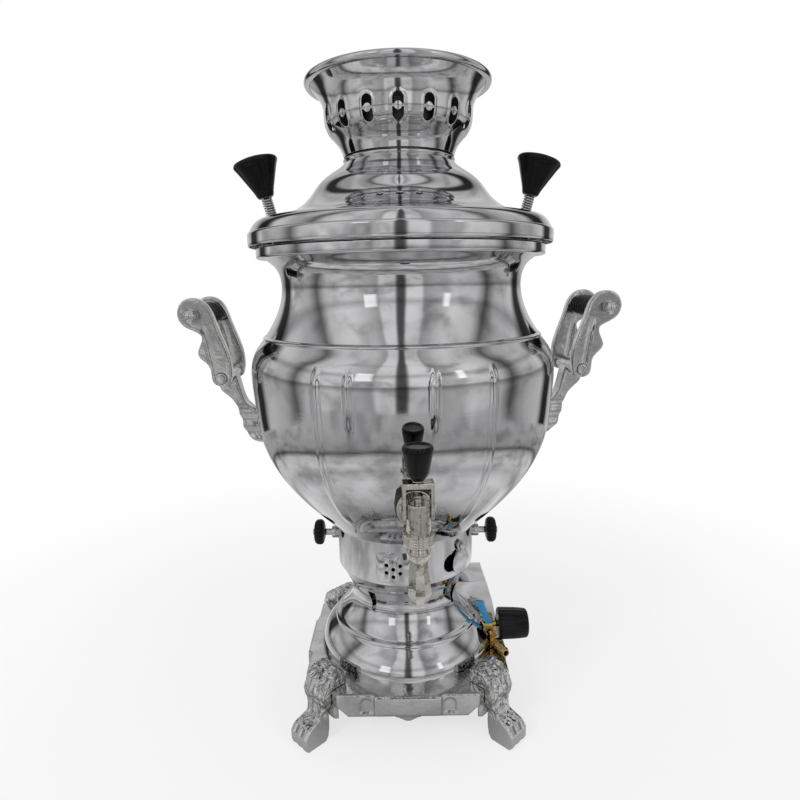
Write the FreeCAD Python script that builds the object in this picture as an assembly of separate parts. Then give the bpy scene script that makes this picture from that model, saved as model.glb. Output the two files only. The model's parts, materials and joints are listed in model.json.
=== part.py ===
import FreeCAD, Part
import math
import os

from FreeCAD import Vector as V

# A table-top gas samovar: a square cast foot, a spun pedestal with the burner inside,
# an urn with a flue through its middle, a lift-off lid and a pierced crown for a teapot.
# Millimetres. The origin is on the floor, under the urn's axis. The tap is on the -Y side.

# Whole object
base_top = 46.0           # top face of the cast foot above the floor
sheet_wall = 1.2          # spun sheet
body_gap = 0.3            # clearance between pieces that part
shaft_gap = 0.05          # radial clearance of a running fit
urn_turn = 3.5            # the urn sits turned on its stand, so the tap is a little to the right

# Foot
base_half = 88.0          # half width of the square foot
base_corner = 30.0        # length cut off each corner, where the legs sit
plate_wall = 4.0
apron_wall = 3.0
apron_drop = 20.0         # depth of the apron below the top face
apron_point = 5.0         # further drop of the pointed middle
tab_width = 55.0          # raised front tab
tab_depth = 3.0
panel_width = 22.0        # arched recess between the tab and each leg
panel_height = 14.0
panel_depth = 1.2
plate_hole_r = 40.0       # middle hole of the foot

# Legs
leg_width = 28.0
foot_width = 22.0
leg_reach = 129.0         # radius of the toe
toe_height = 20.0
leg_top = 60.0            # the crest above the floor
leg_screw_r = 2.5

# Pedestal bell, heights above the foot's top
bell_foot_r = 80.0
bell_foot_height = 8.0
bell_waist_r = 49.4
bell_waist_height = 56.0
bell_top_r = 60.0
bell_height = 82.0
bell_bead_r = 2.0
bell_screw_pitch_r = 71.0
bell_screw_r = 2.0
bell_flange = 12.0

# Burner housing on the bell
housing_r = 61.5
housing_height = 39.0
housing_lip = 2.5
burner_hole_r = 9.0

# Vent plate
vent_azimuth = -9.5
vent_width = 30.0
vent_height = 26.0
vent_wall = 1.6
vent_hole_r = 1.7
vent_ring_r = 6.7
vent_up = 16.0            # its middle above the housing's floor

# Ignition hole and its swinging cover
light_azimuth = 39.0
light_r = 8.0
light_up = 14.0
cover_r = 11.0
cover_wall = 0.8
cover_azimuth = 48.5
cover_pivot_up = 27.5
cover_tab_r = 4.5
cover_rivet_r = 1.5

# Thumb screws
thumb_up = 23.5           # above the housing's floor
thumb_shank_r = 3.0
thumb_nut_r = 5.5
thumb_nut_length = 6.0
thumb_reach = 74.0        # radius where the knob begins
thumb_knob_r = 11.5
thumb_knob_wall = 10.0
thumb_flutes = 18
thumb_flute_r = 1.1

# Burner and gas valve
burner_r = 34.0
burner_height = 12.0
burner_up = 6.0           # above the housing's floor
burner_cap_r = 27.0
burner_cap_wall = 3.0
burner_ports = 24
port_r = 1.2
pipe_r = 5.0
pipe_bore_r = 3.6
pipe_nut_r = 10.0
pipe_nut_height = 5.0
valve_up = 17.0           # axis above the foot's top
valve_y = -12.0
valve_inner_x = 50.0
valve_body_r = 7.0
valve_nose_x = 79.5
stem_r = 3.0
stem_collar_r = 4.5
knob_x = 85.0
knob_length = 27.5
knob_r = 14.5
knob_nose_r = 12.5
knob_socket = 14.0
barb_x = 81.0
barb_r = 4.2
barb_bore_r = 2.6
barb_length = 20.0
elbow_r = 4.5
barb_up = 6.0             # its axis above the foot's top
barb_y = -24.0            # where its nut begins
barb_turn = 20.0          # it points past the front leg

# Guard over the valve
guard_x = 83.0
guard_half = 19.0
guard_low = 23.0
guard_high = 63.0
guard_shoulder = 46.0
tag_wall = 0.8

# Urn
urn_low = base_top + bell_height + housing_height
urn_foot_r = 64.7
urn_foot_ring_drop = 19.0
belly_r = 128.0
neck_r = 100.3
mouth_r = 113.0
mouth_height = 230.4      # top edge of the shell above the urn's lower edge
bead_r = 1.3
rib_r = 5.0
rib_rise = 1.8
long_ribs = (-31.7, 26.0, 148.3, 206.0)
short_ribs = (-20.7, 6.5, 159.3, 186.5)
rib_top = 150.0
long_rib_low = 22.0
short_rib_low = 104.0
seam_up = 167.2           # the waist bead, where the body and the neck meet
flue_r = 34.0
flue_height = 304.0
tank_floor_up = 4.0
ring_r = 119.5
ring_wall = 11.0
ring_height = 9.0

# Lid
lid_band_r = 125.5
lid_band_height = 11.0
lid_spigot_r = 107.5
lid_spigot_drop = 8.0
lid_neck_r = 43.5
lid_neck_rise = 76.0
lid_bead_r = 2.0

# Lid knobs
lid_knob_at = 105.0
lid_knob_lean = 15.0
lid_stud_r = 2.5
lid_spring_r = 3.9
lid_spring_wire = 0.7
lid_spring_turns = 7
lid_spring_length = 14.0
lid_washer_r = 6.0
lid_washer_wall = 1.5
lid_knob_low_r = 7.0
lid_knob_top_r = 18.5
lid_knob_height = 30.0
lid_knob_dome = 2.5

# Crown
crown_low_r = 45.2
crown_waist_r = 59.8
crown_rim_r = 72.2
crown_height = 55.0
rim_bead_r = 2.8
crown_holes = 16
crown_hole_up = 25.0
crown_hole_half = 4.2
crown_hole_reach = 4.8
crown_land_r = 2.9
crown_bar = 1.8

# Tap, in the urn's own frame
tap_up = 54.0             # axis above the urn's lower edge
tap_wall_r = 112.0
tap_flange_r = 13.5
tap_flange_wall = 3.0
tap_barrel_r = 7.5
tap_barrel_bore = 4.5
tap_body_y = -147.0
tap_body_r = 8.5
tap_body_low = -13.0
tap_body_high = 14.0
tap_nut_r = 10.5
tap_nut_height = 8.0
nozzle_neck_r = 7.5
nozzle_flare_r = 8.6
nozzle_mouth_r = 6.5
nozzle_length = 44.0
nozzle_bore = 4.8
tap_stem_r = 3.0
tap_stem_rise = 3.0       # height of the spindle above the body
tap_pin_r = 1.6
tap_pin_up = 8.0
tap_pin_back = 5.0        # pin behind the tap's upright axis
cheek_low = 3.0           # lower edge of the lever's cheeks above the tap's axis
lever_half = 9.4
lever_wall = 2.4
lever_width = 8.0
lever_high = 25.0
tap_knob_low = 29.0
tap_knob_high = 53.0
tap_knob_r = 10.5
tap_locknut_r = 11.0
tap_locknut_wall = 5.0

# Handles, in the urn's own frame
arm_y = 27.0
arm_wall = 8.0
grip_at = (169.0, 308.5)  # radius and height above the foot's top
grip_r = 9.0
grip_ribs = 9
grip_groove = 1.0
handle_bolt_r = 2.5
handle_ball_r = 6.0
knuckle_at = (150.0, 257.0)
knuckle_r = 6.5
stem_half = 8.0
handle_screw_r = 2.5
handle_screw_up = 87.0
handle_screw_reach = 134.0 # radius of the screw's tip, inside the stem
handle_nut_r = 6.0
handle_nut_wall = 4.0


def save(shape, name):
    """Write one sub-part as its own STEP file."""
    os.makedirs("parts", exist_ok=True)
    shape.exportStep("parts/" + name + ".step")
    print(name, len(shape.Solids), round(shape.Volume, 1), shape.isValid())


def join(first, *others):
    """Fuse solids of one piece."""
    shape = first
    for other in others:
        shape = shape.fuse(other)
    return shape.removeSplitter()


def turned(points, base=V(0, 0, 0), axis=V(0, 0, 1), radial=V(1, 0, 0)):
    """A solid of revolution from (radius, height) corners joined by straight lines."""
    corners = [base + radial * r + axis * h for r, h in points]
    face = Part.Face(Part.makePolygon(corners + [corners[0]]))
    return face.revolve(base, axis, 360)


def curve(points):
    spline = Part.BSplineCurve()
    spline.interpolate(Points=[V(r, 0, z) for r, z in points])
    return spline


def inward(points, wall):
    """The same outline moved in by the wall, square to the curve."""
    spline = curve(points)
    moved = []
    for r, z in points:
        here = spline.parameter(V(r, 0, z))
        along = spline.tangent(here)[0]
        moved.append((r - along.z * wall, z + along.x * wall))
    return moved


def spun_sheet(points, wall):
    """A spun shell: its outside passes smoothly through the (radius, height) points."""
    outer = curve(points)
    inner = curve(inward(points, wall))
    ends = [Part.makeLine(outer.EndPoint, inner.EndPoint), Part.makeLine(inner.StartPoint, outer.StartPoint)]
    wire = Part.Wire(Part.__sortEdges__([outer.toShape(), ends[0], inner.toShape(), ends[1]]))
    return Part.Face(wire).revolve(V(0, 0, 0), V(0, 0, 1), 360)


def spun_fill(points):
    """The full space inside a spun outline."""
    outer = curve(points)
    low = V(0, 0, points[0][1])
    high = V(0, 0, points[-1][1])
    wire = Part.Wire([
        Part.makeLine(low, outer.StartPoint),
        outer.toShape(),
        Part.makeLine(outer.EndPoint, high),
        Part.makeLine(high, low),
    ])
    return Part.Face(wire).revolve(V(0, 0, 0), V(0, 0, 1), 360)


def ring(radius, section, z):
    return Part.makeTorus(radius, section, V(0, 0, z), V(0, 0, 1))


def rod(radius, start, end):
    return Part.makeCylinder(radius, (end - start).Length, start, end - start)


def tube(outer, inner, low, high):
    solid = Part.makeCylinder(outer, high - low, V(0, 0, low))
    return solid.cut(Part.makeCylinder(inner, high - low, V(0, 0, low)))


def box(low, high):
    return Part.makeBox(high[0] - low[0], high[1] - low[1], high[2] - low[2], V(*low))


def prism(points, depth, place):
    """Extrude a closed outline given in (u, v) by depth, using place(u, v) for its corners."""
    corners = [place(u, v) for u, v in points]
    face = Part.Face(Part.makePolygon(corners + [corners[0]]))
    return face.extrude(depth)


def rounded(points, depth, place):
    """Extrude a closed smooth outline that passes through the points."""
    spline = Part.BSplineCurve()
    spline.interpolate(Points=[place(u, v) for u, v in points], PeriodicFlag=True)
    return Part.Face(Part.Wire(spline.toShape())).extrude(depth)


def hexagon(corner_r, height, base, axis=V(0, 0, 1)):
    """A hexagonal nut blank."""
    corners = [V(corner_r * math.cos(math.radians(60 * k)), corner_r * math.sin(math.radians(60 * k)), 0)
               for k in range(6)]
    solid = Part.Face(Part.makePolygon(corners + [corners[0]])).extrude(V(0, 0, height))
    solid.Placement = FreeCAD.Placement(base, FreeCAD.Rotation(V(0, 0, 1), axis))
    return solid


def about_z(shape, degrees):
    turned_shape = shape.copy()
    turned_shape.rotate(V(0, 0, 0), V(0, 0, 1), degrees)
    return turned_shape


def urn_frame(shape):
    return about_z(shape, urn_turn)


def flipped(shape):
    """The same piece on the other side of the YZ plane."""
    return shape.mirror(V(0, 0, 0), V(1, 0, 0))


def pair(shape):
    """The right piece and its mirrored twin."""
    return Part.makeCompound([shape, flipped(shape)])


# Outlines, as (radius, height above the floor)
bell_line = [(r, base_top + h) for r, h in (
    (bell_foot_r, 0.0),
    (bell_foot_r - 0.8, bell_foot_height),
    (bell_foot_r - 8.0, 21.0),
    (bell_foot_r - 18.0, 31.0),
    (bell_waist_r + 5.4, 40.0),
    (bell_waist_r, bell_waist_height),
    (bell_waist_r + 5.6, 71.0),
    (bell_top_r, bell_height),
)]
housing_low = base_top + bell_height
housing_top = housing_low + housing_height

urn_line = [(r, urn_low + body_gap + h) for r, h in (
    (urn_foot_r, 0.0),
    (belly_r - 52.0, 11.0),
    (belly_r - 29.7, 35.0),
    (belly_r - 13.6, 59.0),
    (belly_r - 4.3, 83.0),
    (belly_r, 119.0),
    (belly_r - 3.0, 155.0),
    (belly_r - 8.5, 163.0),
    (neck_r + 13.4, 171.0),
    (neck_r + 6.4, 183.0),
    (neck_r, 208.0),
    (neck_r + 4.0, 223.0),
    (mouth_r, mouth_height),
)]
shell_top = urn_low + body_gap + mouth_height
ring_top = shell_top + ring_height
lid_low = ring_top + body_gap

lid_line = [(r, lid_low + h) for r, h in (
    (lid_band_r - 1.5, lid_band_height),
    (lid_band_r - 7.0, lid_band_height + 8.0),
    (lid_band_r - 22.5, lid_band_height + 11.7),
    (lid_band_r - 36.0, 27.0),
    (lid_neck_r + 30.7, 39.0),
    (lid_neck_r + 23.0, 49.0),
    (lid_neck_r + 11.5, 58.0),
    (lid_neck_r + 4.0, 63.5),
    (lid_neck_r, lid_neck_rise - 6.0),
    (lid_neck_r, lid_neck_rise),
)]
lid_bead_z = lid_low + 68.5
crown_low = lid_bead_z + lid_bead_r + body_gap

crown_line = [(r, crown_low + h) for r, h in (
    (crown_low_r, 0.0),
    (crown_low_r + 3.2, 8.0),
    (crown_waist_r - 5.0, 16.0),
    (crown_waist_r - 0.8, 24.0),
    (crown_waist_r, 32.0),
    (crown_waist_r + 3.4, 44.0),
    (crown_rim_r - 2.0, crown_height - 2.5),
)]


def radial(degrees, radius, z):
    """A point at an azimuth counted from the front, positive to the right."""
    angle = math.radians(degrees)
    return V(radius * math.sin(angle), -radius * math.cos(angle), z)


# Foot
def make_base_plate():
    half = base_half
    inner = half - apron_wall
    cut = base_corner
    outline = ((half, cut - half), (half, half - cut), (half - cut, half), (cut - half, half),
               (-half, half - cut), (-half, cut - half), (cut - half, -half), (half - cut, -half))
    inside = tuple((x * inner / half, y * inner / half) for x, y in outline)
    low = base_top - apron_drop
    point_low = low - apron_point
    solid = prism(outline, V(0, 0, base_top - point_low), lambda u, v: V(u, v, point_low))
    solid = solid.cut(prism(inside, V(0, 0, base_top - plate_wall - point_low),
                            lambda u, v: V(u, v, point_low)))
    solid = solid.cut(Part.makeCylinder(plate_hole_r, plate_wall * 3, V(0, 0, base_top - 2 * plate_wall)))
    # Each apron's lower edge falls to a point in the middle, and is high beside the legs
    edge = ((-half * 2, point_low - 1), (half * 2, point_low - 1),
            (half * 2, low + 8), (half - cut, low + 8),
            (half - cut - 8, low), (12, low), (0, point_low), (-12, low), (8 + cut - half, low),
            (cut - half, low + 8), (-half * 2, low + 8))
    front_cut = prism(edge, V(0, half * 4, 0), lambda u, v: V(u, -half * 2, v))
    side_cut = prism(edge, V(half * 4, 0, 0), lambda u, v: V(-half * 2, u, v))
    return solid, front_cut, side_cut


def make_foot():
    solid, front_cut, side_cut = make_base_plate()
    half = base_half
    reach = apron_wall + 1.0
    for k in range(4):
        slab = box((-half, -half - 1, 0), (half, -half + reach, base_top + 1))
        slab = about_z(slab, 90 * k)
        solid = solid.cut(slab.common(front_cut if k % 2 == 0 else side_cut))
    # The front tab and the arched recesses beside it, the same on all four sides
    for k in range(4):
        tab = box((-tab_width / 2, -half - tab_depth, base_top - apron_drop + 2),
                  (tab_width / 2, -half, base_top))
        tab = about_z(tab, 90 * k)
        solid = solid.fuse(tab)
        for side in (-1, 1):
            middle = side * (tab_width / 2 + 1.5 + panel_width / 4)
            arch_low = base_top - apron_drop + 3
            arch_r = panel_width / 4
            panel = box((middle - arch_r, -half - 1, arch_low),
                        (middle + arch_r, -half + panel_depth, arch_low + panel_height - arch_r))
            panel = panel.fuse(Part.makeCylinder(arch_r, 1 + panel_depth,
                               V(middle, -half - 1, arch_low + panel_height - arch_r), V(0, 1, 0)))
            solid = solid.cut(about_z(panel, 90 * k))
    for k in range(4):
        at = leg_screw_place(k)
        out = V(at.x, at.y, 0).normalize()
        solid = solid.cut(rod(leg_screw_r, at - out * 12, at + out * 12))
        spot = bell_screw_place(k)
        solid = solid.cut(rod(bell_screw_r, spot - V(0, 0, 20), spot + V(0, 0, 20)))
    return solid.removeSplitter()


corner_face = (2 * base_half - base_corner) / math.sqrt(2)


def leg_screw_place(k):
    angle = math.radians(45 + 90 * k)
    return V(corner_face * math.cos(angle), corner_face * math.sin(angle), base_top - 13)


def bell_screw_place(k):
    angle = math.radians(90 * k + 22.5)
    return V(bell_screw_pitch_r * math.cos(angle), bell_screw_pitch_r * math.sin(angle), base_top)


def make_leg(k):
    """A cast leg on a corner face, sweeping out and down to a blocky toe."""
    seat = corner_face
    top = leg_top
    side = ((seat, base_top - apron_drop + 2), (seat, base_top), (seat - 16, base_top), (seat - 17, top - 3),
            (seat - 10, top), (seat - 3, top - 1), (seat + 5, top - 7), (seat + 9, top - 18),
            (seat + 7, toe_height + 12), (seat + 10, toe_height + 3), (leg_reach - 4, toe_height - 2),
            (leg_reach, toe_height - 8), (leg_reach, 3), (leg_reach - 2, 0), (seat + 5, 0), (seat + 2, 4),
            (seat, toe_height))
    body = prism(side, V(0, leg_width, 0), lambda u, v: V(u, -leg_width / 2, v))
    face = ((-leg_width / 2, top + 1), (leg_width / 2, top + 1), (leg_width / 2, base_top - 12),
            (foot_width / 2 - 2, toe_height + 5), (foot_width / 2, toe_height - 4), (foot_width / 2, 0),
            (-foot_width / 2, 0), (-foot_width / 2, toe_height - 4), (2 - foot_width / 2, toe_height + 5),
            (-leg_width / 2, base_top - 12))
    front = prism(face, V(leg_reach * 2, 0, 0), lambda u, v: V(0, u, v))
    solid = body.common(front)
    solid = solid.cut(Part.makeCylinder(bell_foot_r + body_gap, top * 2))
    solid = solid.cut(rod(leg_screw_r, V(seat - 5, 0, base_top - 13), V(seat + 5, 0, base_top - 13)))
    return about_z(solid, 45 + 90 * k)


def make_leg_screws():
    screws = []
    for k in range(4):
        at = leg_screw_place(k)
        out = V(at.x, at.y, 0).normalize()
        wall_inside = corner_face * (base_half - apron_wall) / base_half
        head_at = V(out.x * wall_inside, out.y * wall_inside, at.z)
        head = hexagon(leg_screw_r * 1.9, 3, head_at, out * -1)
        shank = rod(leg_screw_r, head_at, at + out * 5)
        screws.append(shank.fuse(head).removeSplitter())
    return screws


# Pedestal
def make_bell():
    shell = spun_sheet(bell_line, sheet_wall)
    flange = tube(bell_foot_r - 0.6, bell_foot_r - bell_flange, base_top, base_top + sheet_wall)
    bead = ring(bell_foot_r - 14.6, bell_bead_r, base_top + 29)
    hollow = spun_fill(inward(bell_line, sheet_wall))
    solid = join(shell, flange, bead.cut(hollow))
    # The spun edges end flat on the foot and under the housing
    solid = solid.common(Part.makeCylinder(base_half, bell_height, V(0, 0, base_top)))
    solid = solid.cut(rod(valve_body_r + body_gap, V(40, valve_y, base_top + valve_up),
                          V(base_half, valve_y, base_top + valve_up)))
    for k in range(4):
        spot = bell_screw_place(k)
        solid = solid.cut(rod(bell_screw_r, spot - V(0, 0, 2), spot + V(0, 0, 4)))
    # Air slots in the waist, wide at the top
    slot = ((-4, bell_waist_height + 12), (4, bell_waist_height + 12), (1.5, bell_waist_height - 7),
            (-1.5, bell_waist_height - 7))
    for degrees in (55, 145, 235, 325):
        cutter = prism(slot, V(0, -bell_top_r, 0), lambda u, v: V(u, -20, base_top + v))
        solid = solid.cut(about_z(cutter, degrees))
    return solid


def make_bell_screws():
    screws = []
    for k in range(4):
        spot = bell_screw_place(k)
        low = spot.z - plate_wall
        shank = rod(bell_screw_r, V(spot.x, spot.y, low), V(spot.x, spot.y, spot.z + sheet_wall + 3))
        head = Part.makeCylinder(bell_screw_r * 2, 2.4, V(spot.x, spot.y, low - 2.4))
        nut = hexagon(bell_screw_r * 1.9, 2.2, V(spot.x, spot.y, spot.z + sheet_wall))
        screws.append(join(shank, head, nut))
    return screws


# Burner housing
housing_in = housing_r - sheet_wall


def surface_cut(solid, radius):
    """Trim a radial block to the housing's outside."""
    return solid.cut(Part.makeCylinder(radius, 400))


def vent_places():
    places = [(0.0, 0.0)]
    for k in range(6):
        angle = math.radians(30 + 60 * k)
        places.append((vent_ring_r * math.cos(angle), vent_ring_r * math.sin(angle)))
    return places


def vent_cutters():
    cutters = []
    for across, up in vent_places():
        start = V(across, -housing_r + 12, housing_low + vent_up + up)
        cutters.append(about_z(rod(vent_hole_r, start, start - V(0, 24, 0)), vent_azimuth))
    return cutters


def make_housing():
    wall = tube(housing_r, housing_in, housing_low, housing_top)
    floor = tube(housing_in, burner_hole_r, housing_low, housing_low + sheet_wall)
    lip = tube(housing_r + housing_lip, housing_in, housing_top - sheet_wall, housing_top)
    solid = join(wall, floor, lip)
    for cutter in vent_cutters():
        solid = solid.cut(cutter)
    hole = radial(light_azimuth, housing_r - 15, housing_low + light_up)
    solid = solid.cut(rod(light_r, hole, radial(light_azimuth, housing_r + 10, housing_low + light_up)))
    pivot = radial(cover_azimuth, housing_r - 5, housing_low + cover_pivot_up)
    solid = solid.cut(rod(cover_rivet_r, pivot, radial(cover_azimuth, housing_r + 5, pivot.z)))
    for side in (-1, 1):
        axis_z = housing_low + thumb_up
        solid = solid.cut(rod(thumb_nut_r - 1.5, V(side * 50, 0, axis_z), V(side * 75, 0, axis_z)))
    return solid


def make_vent_plate():
    block = box((-vent_width / 2, -housing_r - vent_wall, housing_low + vent_up - vent_height / 2),
                (vent_width / 2, -40, housing_low + vent_up + vent_height / 2))
    upright = [edge for edge in block.Edges if abs(edge.BoundBox.YLength - block.BoundBox.YLength) < 0.01]
    block = block.makeFillet(4.0, upright)
    skin = Part.makeCylinder(housing_r + vent_wall, 400)
    solid = block.common(skin)
    solid = surface_cut(solid, housing_r)
    solid = about_z(solid, vent_azimuth)
    for cutter in vent_cutters():
        solid = solid.cut(cutter)
    return solid


cover_face_r = housing_r + body_gap


def make_cover():
    """A flat disc hanging from a small tab, riveted to the housing."""
    middle = cover_pivot_up - cover_r - cover_tab_r + 1.0
    plate = Part.makeCylinder(cover_r, cover_wall, V(0, 0, middle), V(0, 1, 0))
    tab = Part.makeCylinder(cover_tab_r, cover_wall, V(0, 0, cover_pivot_up), V(0, 1, 0))
    neck = box((-3, 0, middle), (3, cover_wall, cover_pivot_up))
    solid = join(plate, tab, neck)
    solid = solid.cut(Part.makeCylinder(cover_rivet_r + shaft_gap, 9, V(0, -3, cover_pivot_up), V(0, 1, 0)))
    solid.translate(V(0, -cover_face_r - cover_wall - 1.2, housing_low))
    return about_z(solid, cover_azimuth)


def make_cover_rivet():
    cover_out = cover_face_r + cover_wall + 1.2
    z = housing_low + cover_pivot_up
    shank = rod(cover_rivet_r, radial(cover_azimuth, housing_in, z),
                radial(cover_azimuth, cover_out + 1.2, z))
    head = rod(cover_rivet_r * 1.8, radial(cover_azimuth, cover_out + body_gap, z),
               radial(cover_azimuth, cover_out + 1.5, z))
    spacer = rod(cover_rivet_r * 2, radial(cover_azimuth, housing_r - 0.2, z),
                 radial(cover_azimuth, cover_out - cover_wall - body_gap, z))
    spacer = surface_cut(spacer, housing_r)
    return join(shank, head, spacer)


# Thumb screws on the right; the left ones are mirrored
thumb_z = housing_low + thumb_up
thumb_tip = housing_in


def make_thumb_nut():
    collar = rod(thumb_nut_r, V(housing_r - 1, 0, thumb_z), V(housing_r + thumb_nut_length, 0, thumb_z))
    collar = surface_cut(collar, housing_r)
    spigot = rod(thumb_nut_r - 1.5, V(housing_in, 0, thumb_z), V(housing_r + 1, 0, thumb_z))
    solid = collar.fuse(spigot)
    return solid.cut(rod(thumb_shank_r + shaft_gap, V(50, 0, thumb_z), V(80, 0, thumb_z)))


def make_thumb_stud():
    shank = rod(thumb_shank_r, V(thumb_tip, 0, thumb_z), V(thumb_reach, 0, thumb_z))
    core = rod(thumb_shank_r - 0.8, V(thumb_reach - 1, 0, thumb_z),
               V(thumb_reach + thumb_knob_wall + 1.2, 0, thumb_z))
    cap = rod(thumb_shank_r, V(thumb_reach + thumb_knob_wall + 0.2, 0, thumb_z),
              V(thumb_reach + thumb_knob_wall + 1.2, 0, thumb_z))
    return join(shank, core, cap)


def make_thumb_knob():
    x = thumb_reach + 0.1
    disc = turned(((thumb_shank_r - 0.8 + shaft_gap, 0), (5.5, 0), (thumb_knob_r - 1.5, 1.5),
                   (thumb_knob_r, 3), (thumb_knob_r, thumb_knob_wall - 3),
                   (thumb_knob_r - 2, thumb_knob_wall - 0.8), (thumb_shank_r + 2, thumb_knob_wall),
                   (thumb_shank_r - 0.8 + shaft_gap, thumb_knob_wall)),
                  V(x, 0, thumb_z), V(1, 0, 0), V(0, 0, 1))
    flute_at = thumb_knob_r + 0.3
    for k in range(thumb_flutes):
        angle = 2 * math.pi * k / thumb_flutes
        at = V(x - 1, flute_at * math.cos(angle), thumb_z + flute_at * math.sin(angle))
        disc = disc.cut(rod(thumb_flute_r, at, at + V(thumb_knob_wall + 2, 0, 0)))
    return disc


# Burner
burner_low = housing_low + sheet_wall + burner_up


def make_burner_head():
    solid = turned(((pipe_r, burner_low), (pipe_r + 6, burner_low), (burner_r, burner_low + 5),
                    (burner_r, burner_low + burner_height), (burner_r - 4, burner_low + burner_height),
                    (burner_r - 6, burner_low + 7), (pipe_r, burner_low + 4)))
    for k in range(burner_ports):
        angle = 360 * k / burner_ports
        port = rod(port_r, V(burner_r - 8, 0, burner_low + burner_height - 3.5),
                   V(burner_r + 2, 0, burner_low + burner_height - 3.5))
        solid = solid.cut(about_z(port, angle))
    return solid


def make_burner_cap():
    z = burner_low + burner_height
    return turned(((0, z), (burner_r, z), (burner_cap_r, z + burner_cap_wall), (0, z + burner_cap_wall)))


def make_gas_pipe():
    """From the valve to the middle of the stand, then up into the burner head."""
    z = base_top + valve_up
    valve_end = V(valve_inner_x, valve_y, z)
    corner = V(0, 0, z)
    top = V(0, 0, burner_low + 4)
    outer = join(rod(pipe_r, valve_end, corner), rod(pipe_r, corner, top),
                 Part.makeSphere(pipe_r, corner))
    inner = join(rod(pipe_bore_r, valve_end, corner), rod(pipe_bore_r, corner, top + V(0, 0, 1)),
                 Part.makeSphere(pipe_bore_r, corner))
    pipe = outer.cut(inner)
    return pipe.cut(box((valve_inner_x, -60, 0), (120, 60, 120)))


def make_pipe_nuts():
    upper = hexagon(pipe_nut_r + 3, pipe_nut_height, V(0, 0, housing_low + sheet_wall))
    lower = hexagon(pipe_nut_r + 3, pipe_nut_height, V(0, 0, housing_low - pipe_nut_height))
    bore = Part.makeCylinder(pipe_r, 40, V(0, 0, housing_low - 20))
    sleeve = tube(burner_hole_r, pipe_r, housing_low, housing_low + sheet_wall)
    return join(upper.cut(bore), lower.cut(bore), sleeve)


# Gas valve
valve_z = base_top + valve_up


def along_x(radius, start, end):
    return rod(radius, V(start, valve_y, valve_z), V(end, valve_y, valve_z))


def make_gas_valve():
    barrel = along_x(valve_body_r, valve_inner_x, valve_nose_x)
    hexed = hexagon(valve_body_r + 3, 8, V(valve_inner_x + 2, valve_y, valve_z), V(1, 0, 0))
    solid = join(barrel, hexed, make_inlet_block())
    solid = solid.cut(along_x(stem_r + shaft_gap, valve_nose_x - 16, valve_nose_x + 1))
    return solid.cut(along_x(pipe_bore_r, valve_inner_x - 1, valve_nose_x - 18))


def make_valve_stem():
    shank = along_x(stem_r, valve_nose_x - 15.5, knob_x + knob_socket - body_gap)
    collar = along_x(stem_collar_r, valve_nose_x + body_gap, knob_x - 1.5)
    return join(shank, collar)


def make_valve_knob():
    solid = turned(((0, 0), (knob_r - 0.8, 0), (knob_r, 1), (knob_r - 0.6, knob_length * 0.75),
                    (knob_nose_r + 0.8, knob_length - 1.2), (knob_nose_r - 1, knob_length),
                    (0, knob_length)),
                   V(knob_x, valve_y, valve_z), V(1, 0, 0), V(0, 0, 1))
    solid = solid.cut(along_x(stem_r, knob_x - 1, knob_x + knob_socket))
    pointer = box((knob_x + 4, valve_y - 0.5, valve_z + knob_nose_r + 0.6),
                  (knob_x + knob_length + 1, valve_y + 0.5, valve_z + knob_r + 1))
    return solid.cut(pointer)


def barb_start():
    return V(barb_x, barb_y, base_top + barb_up)


def barb_way():
    angle = math.radians(barb_turn)
    return V(math.sin(angle), -math.cos(angle), 0)


def make_inlet_block():
    """A block on the valve's nose that turns the inlet towards the front."""
    start = barb_start()
    low_z = start.z - elbow_r - body_gap
    reach = start.y - 2 * elbow_r
    block = box((barb_x - elbow_r, reach, low_z), (knob_x - 2, valve_y + 2, valve_z + 1))
    beyond = rod(4 * elbow_r, start, start + barb_way() * 40)
    front = box((barb_x - elbow_r - 1, reach - 1, start.z + elbow_r),
                (knob_x, valve_y - valve_body_r, valve_z + 2))
    block = block.cut(front).cut(beyond).cut(Part.makeCylinder(bell_foot_r + body_gap, base_top * 3))
    return block.cut(along_x(stem_collar_r + body_gap, valve_nose_x, knob_x + 5))


def make_hose_barb():
    start = barb_start()
    way = barb_way()
    solid = hexagon(elbow_r, 5, start, way)
    ridge = (barb_length - 5) / 3
    shank = turned(((0, 4), (barb_r - 0.9, 4), (barb_r - 0.9, barb_length), (0, barb_length)),
                   start, way, V(0, 0, 1))
    solid = solid.fuse(shank)
    for k in range(3):
        low = 5 + k * ridge
        tooth = turned(((0, low + 0.5), (barb_r, low + 1.5), (barb_r - 0.9, low + ridge), (0, low + ridge)),
                       start, way, V(0, 0, 1))
        solid = solid.fuse(tooth)
    return solid.cut(rod(barb_bore_r, start - way, start + way * (barb_length + 1)))


def make_valve_guard():
    """A bent sheet hood on the bell above the valve, open below."""
    low = base_top + guard_low
    high = base_top + guard_high
    outline = ((40, low), (guard_x, low), (guard_x - 5, base_top + guard_shoulder), (guard_x - 11, high),
               (40, high))
    inside = ((39, low - 1), (guard_x - sheet_wall, low - 1),
              (guard_x - 5 - sheet_wall, base_top + guard_shoulder), (guard_x - 12, high - sheet_wall),
              (39, high - sheet_wall))
    solid = prism(outline, V(0, 2 * guard_half, 0), lambda u, v: V(u, -guard_half, v))
    hollow = prism(inside, V(0, 2 * (guard_half - sheet_wall), 0),
                   lambda u, v: V(u, sheet_wall - guard_half, v))
    solid = solid.cut(hollow)
    solid = solid.cut(spun_fill(bell_line))
    solid = solid.cut(ring(bell_foot_r - 14.6, bell_bead_r, base_top + 29))
    keep = [piece for piece in solid.Solids if piece.BoundBox.XMax > guard_x - 20]
    return keep[0]


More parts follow.
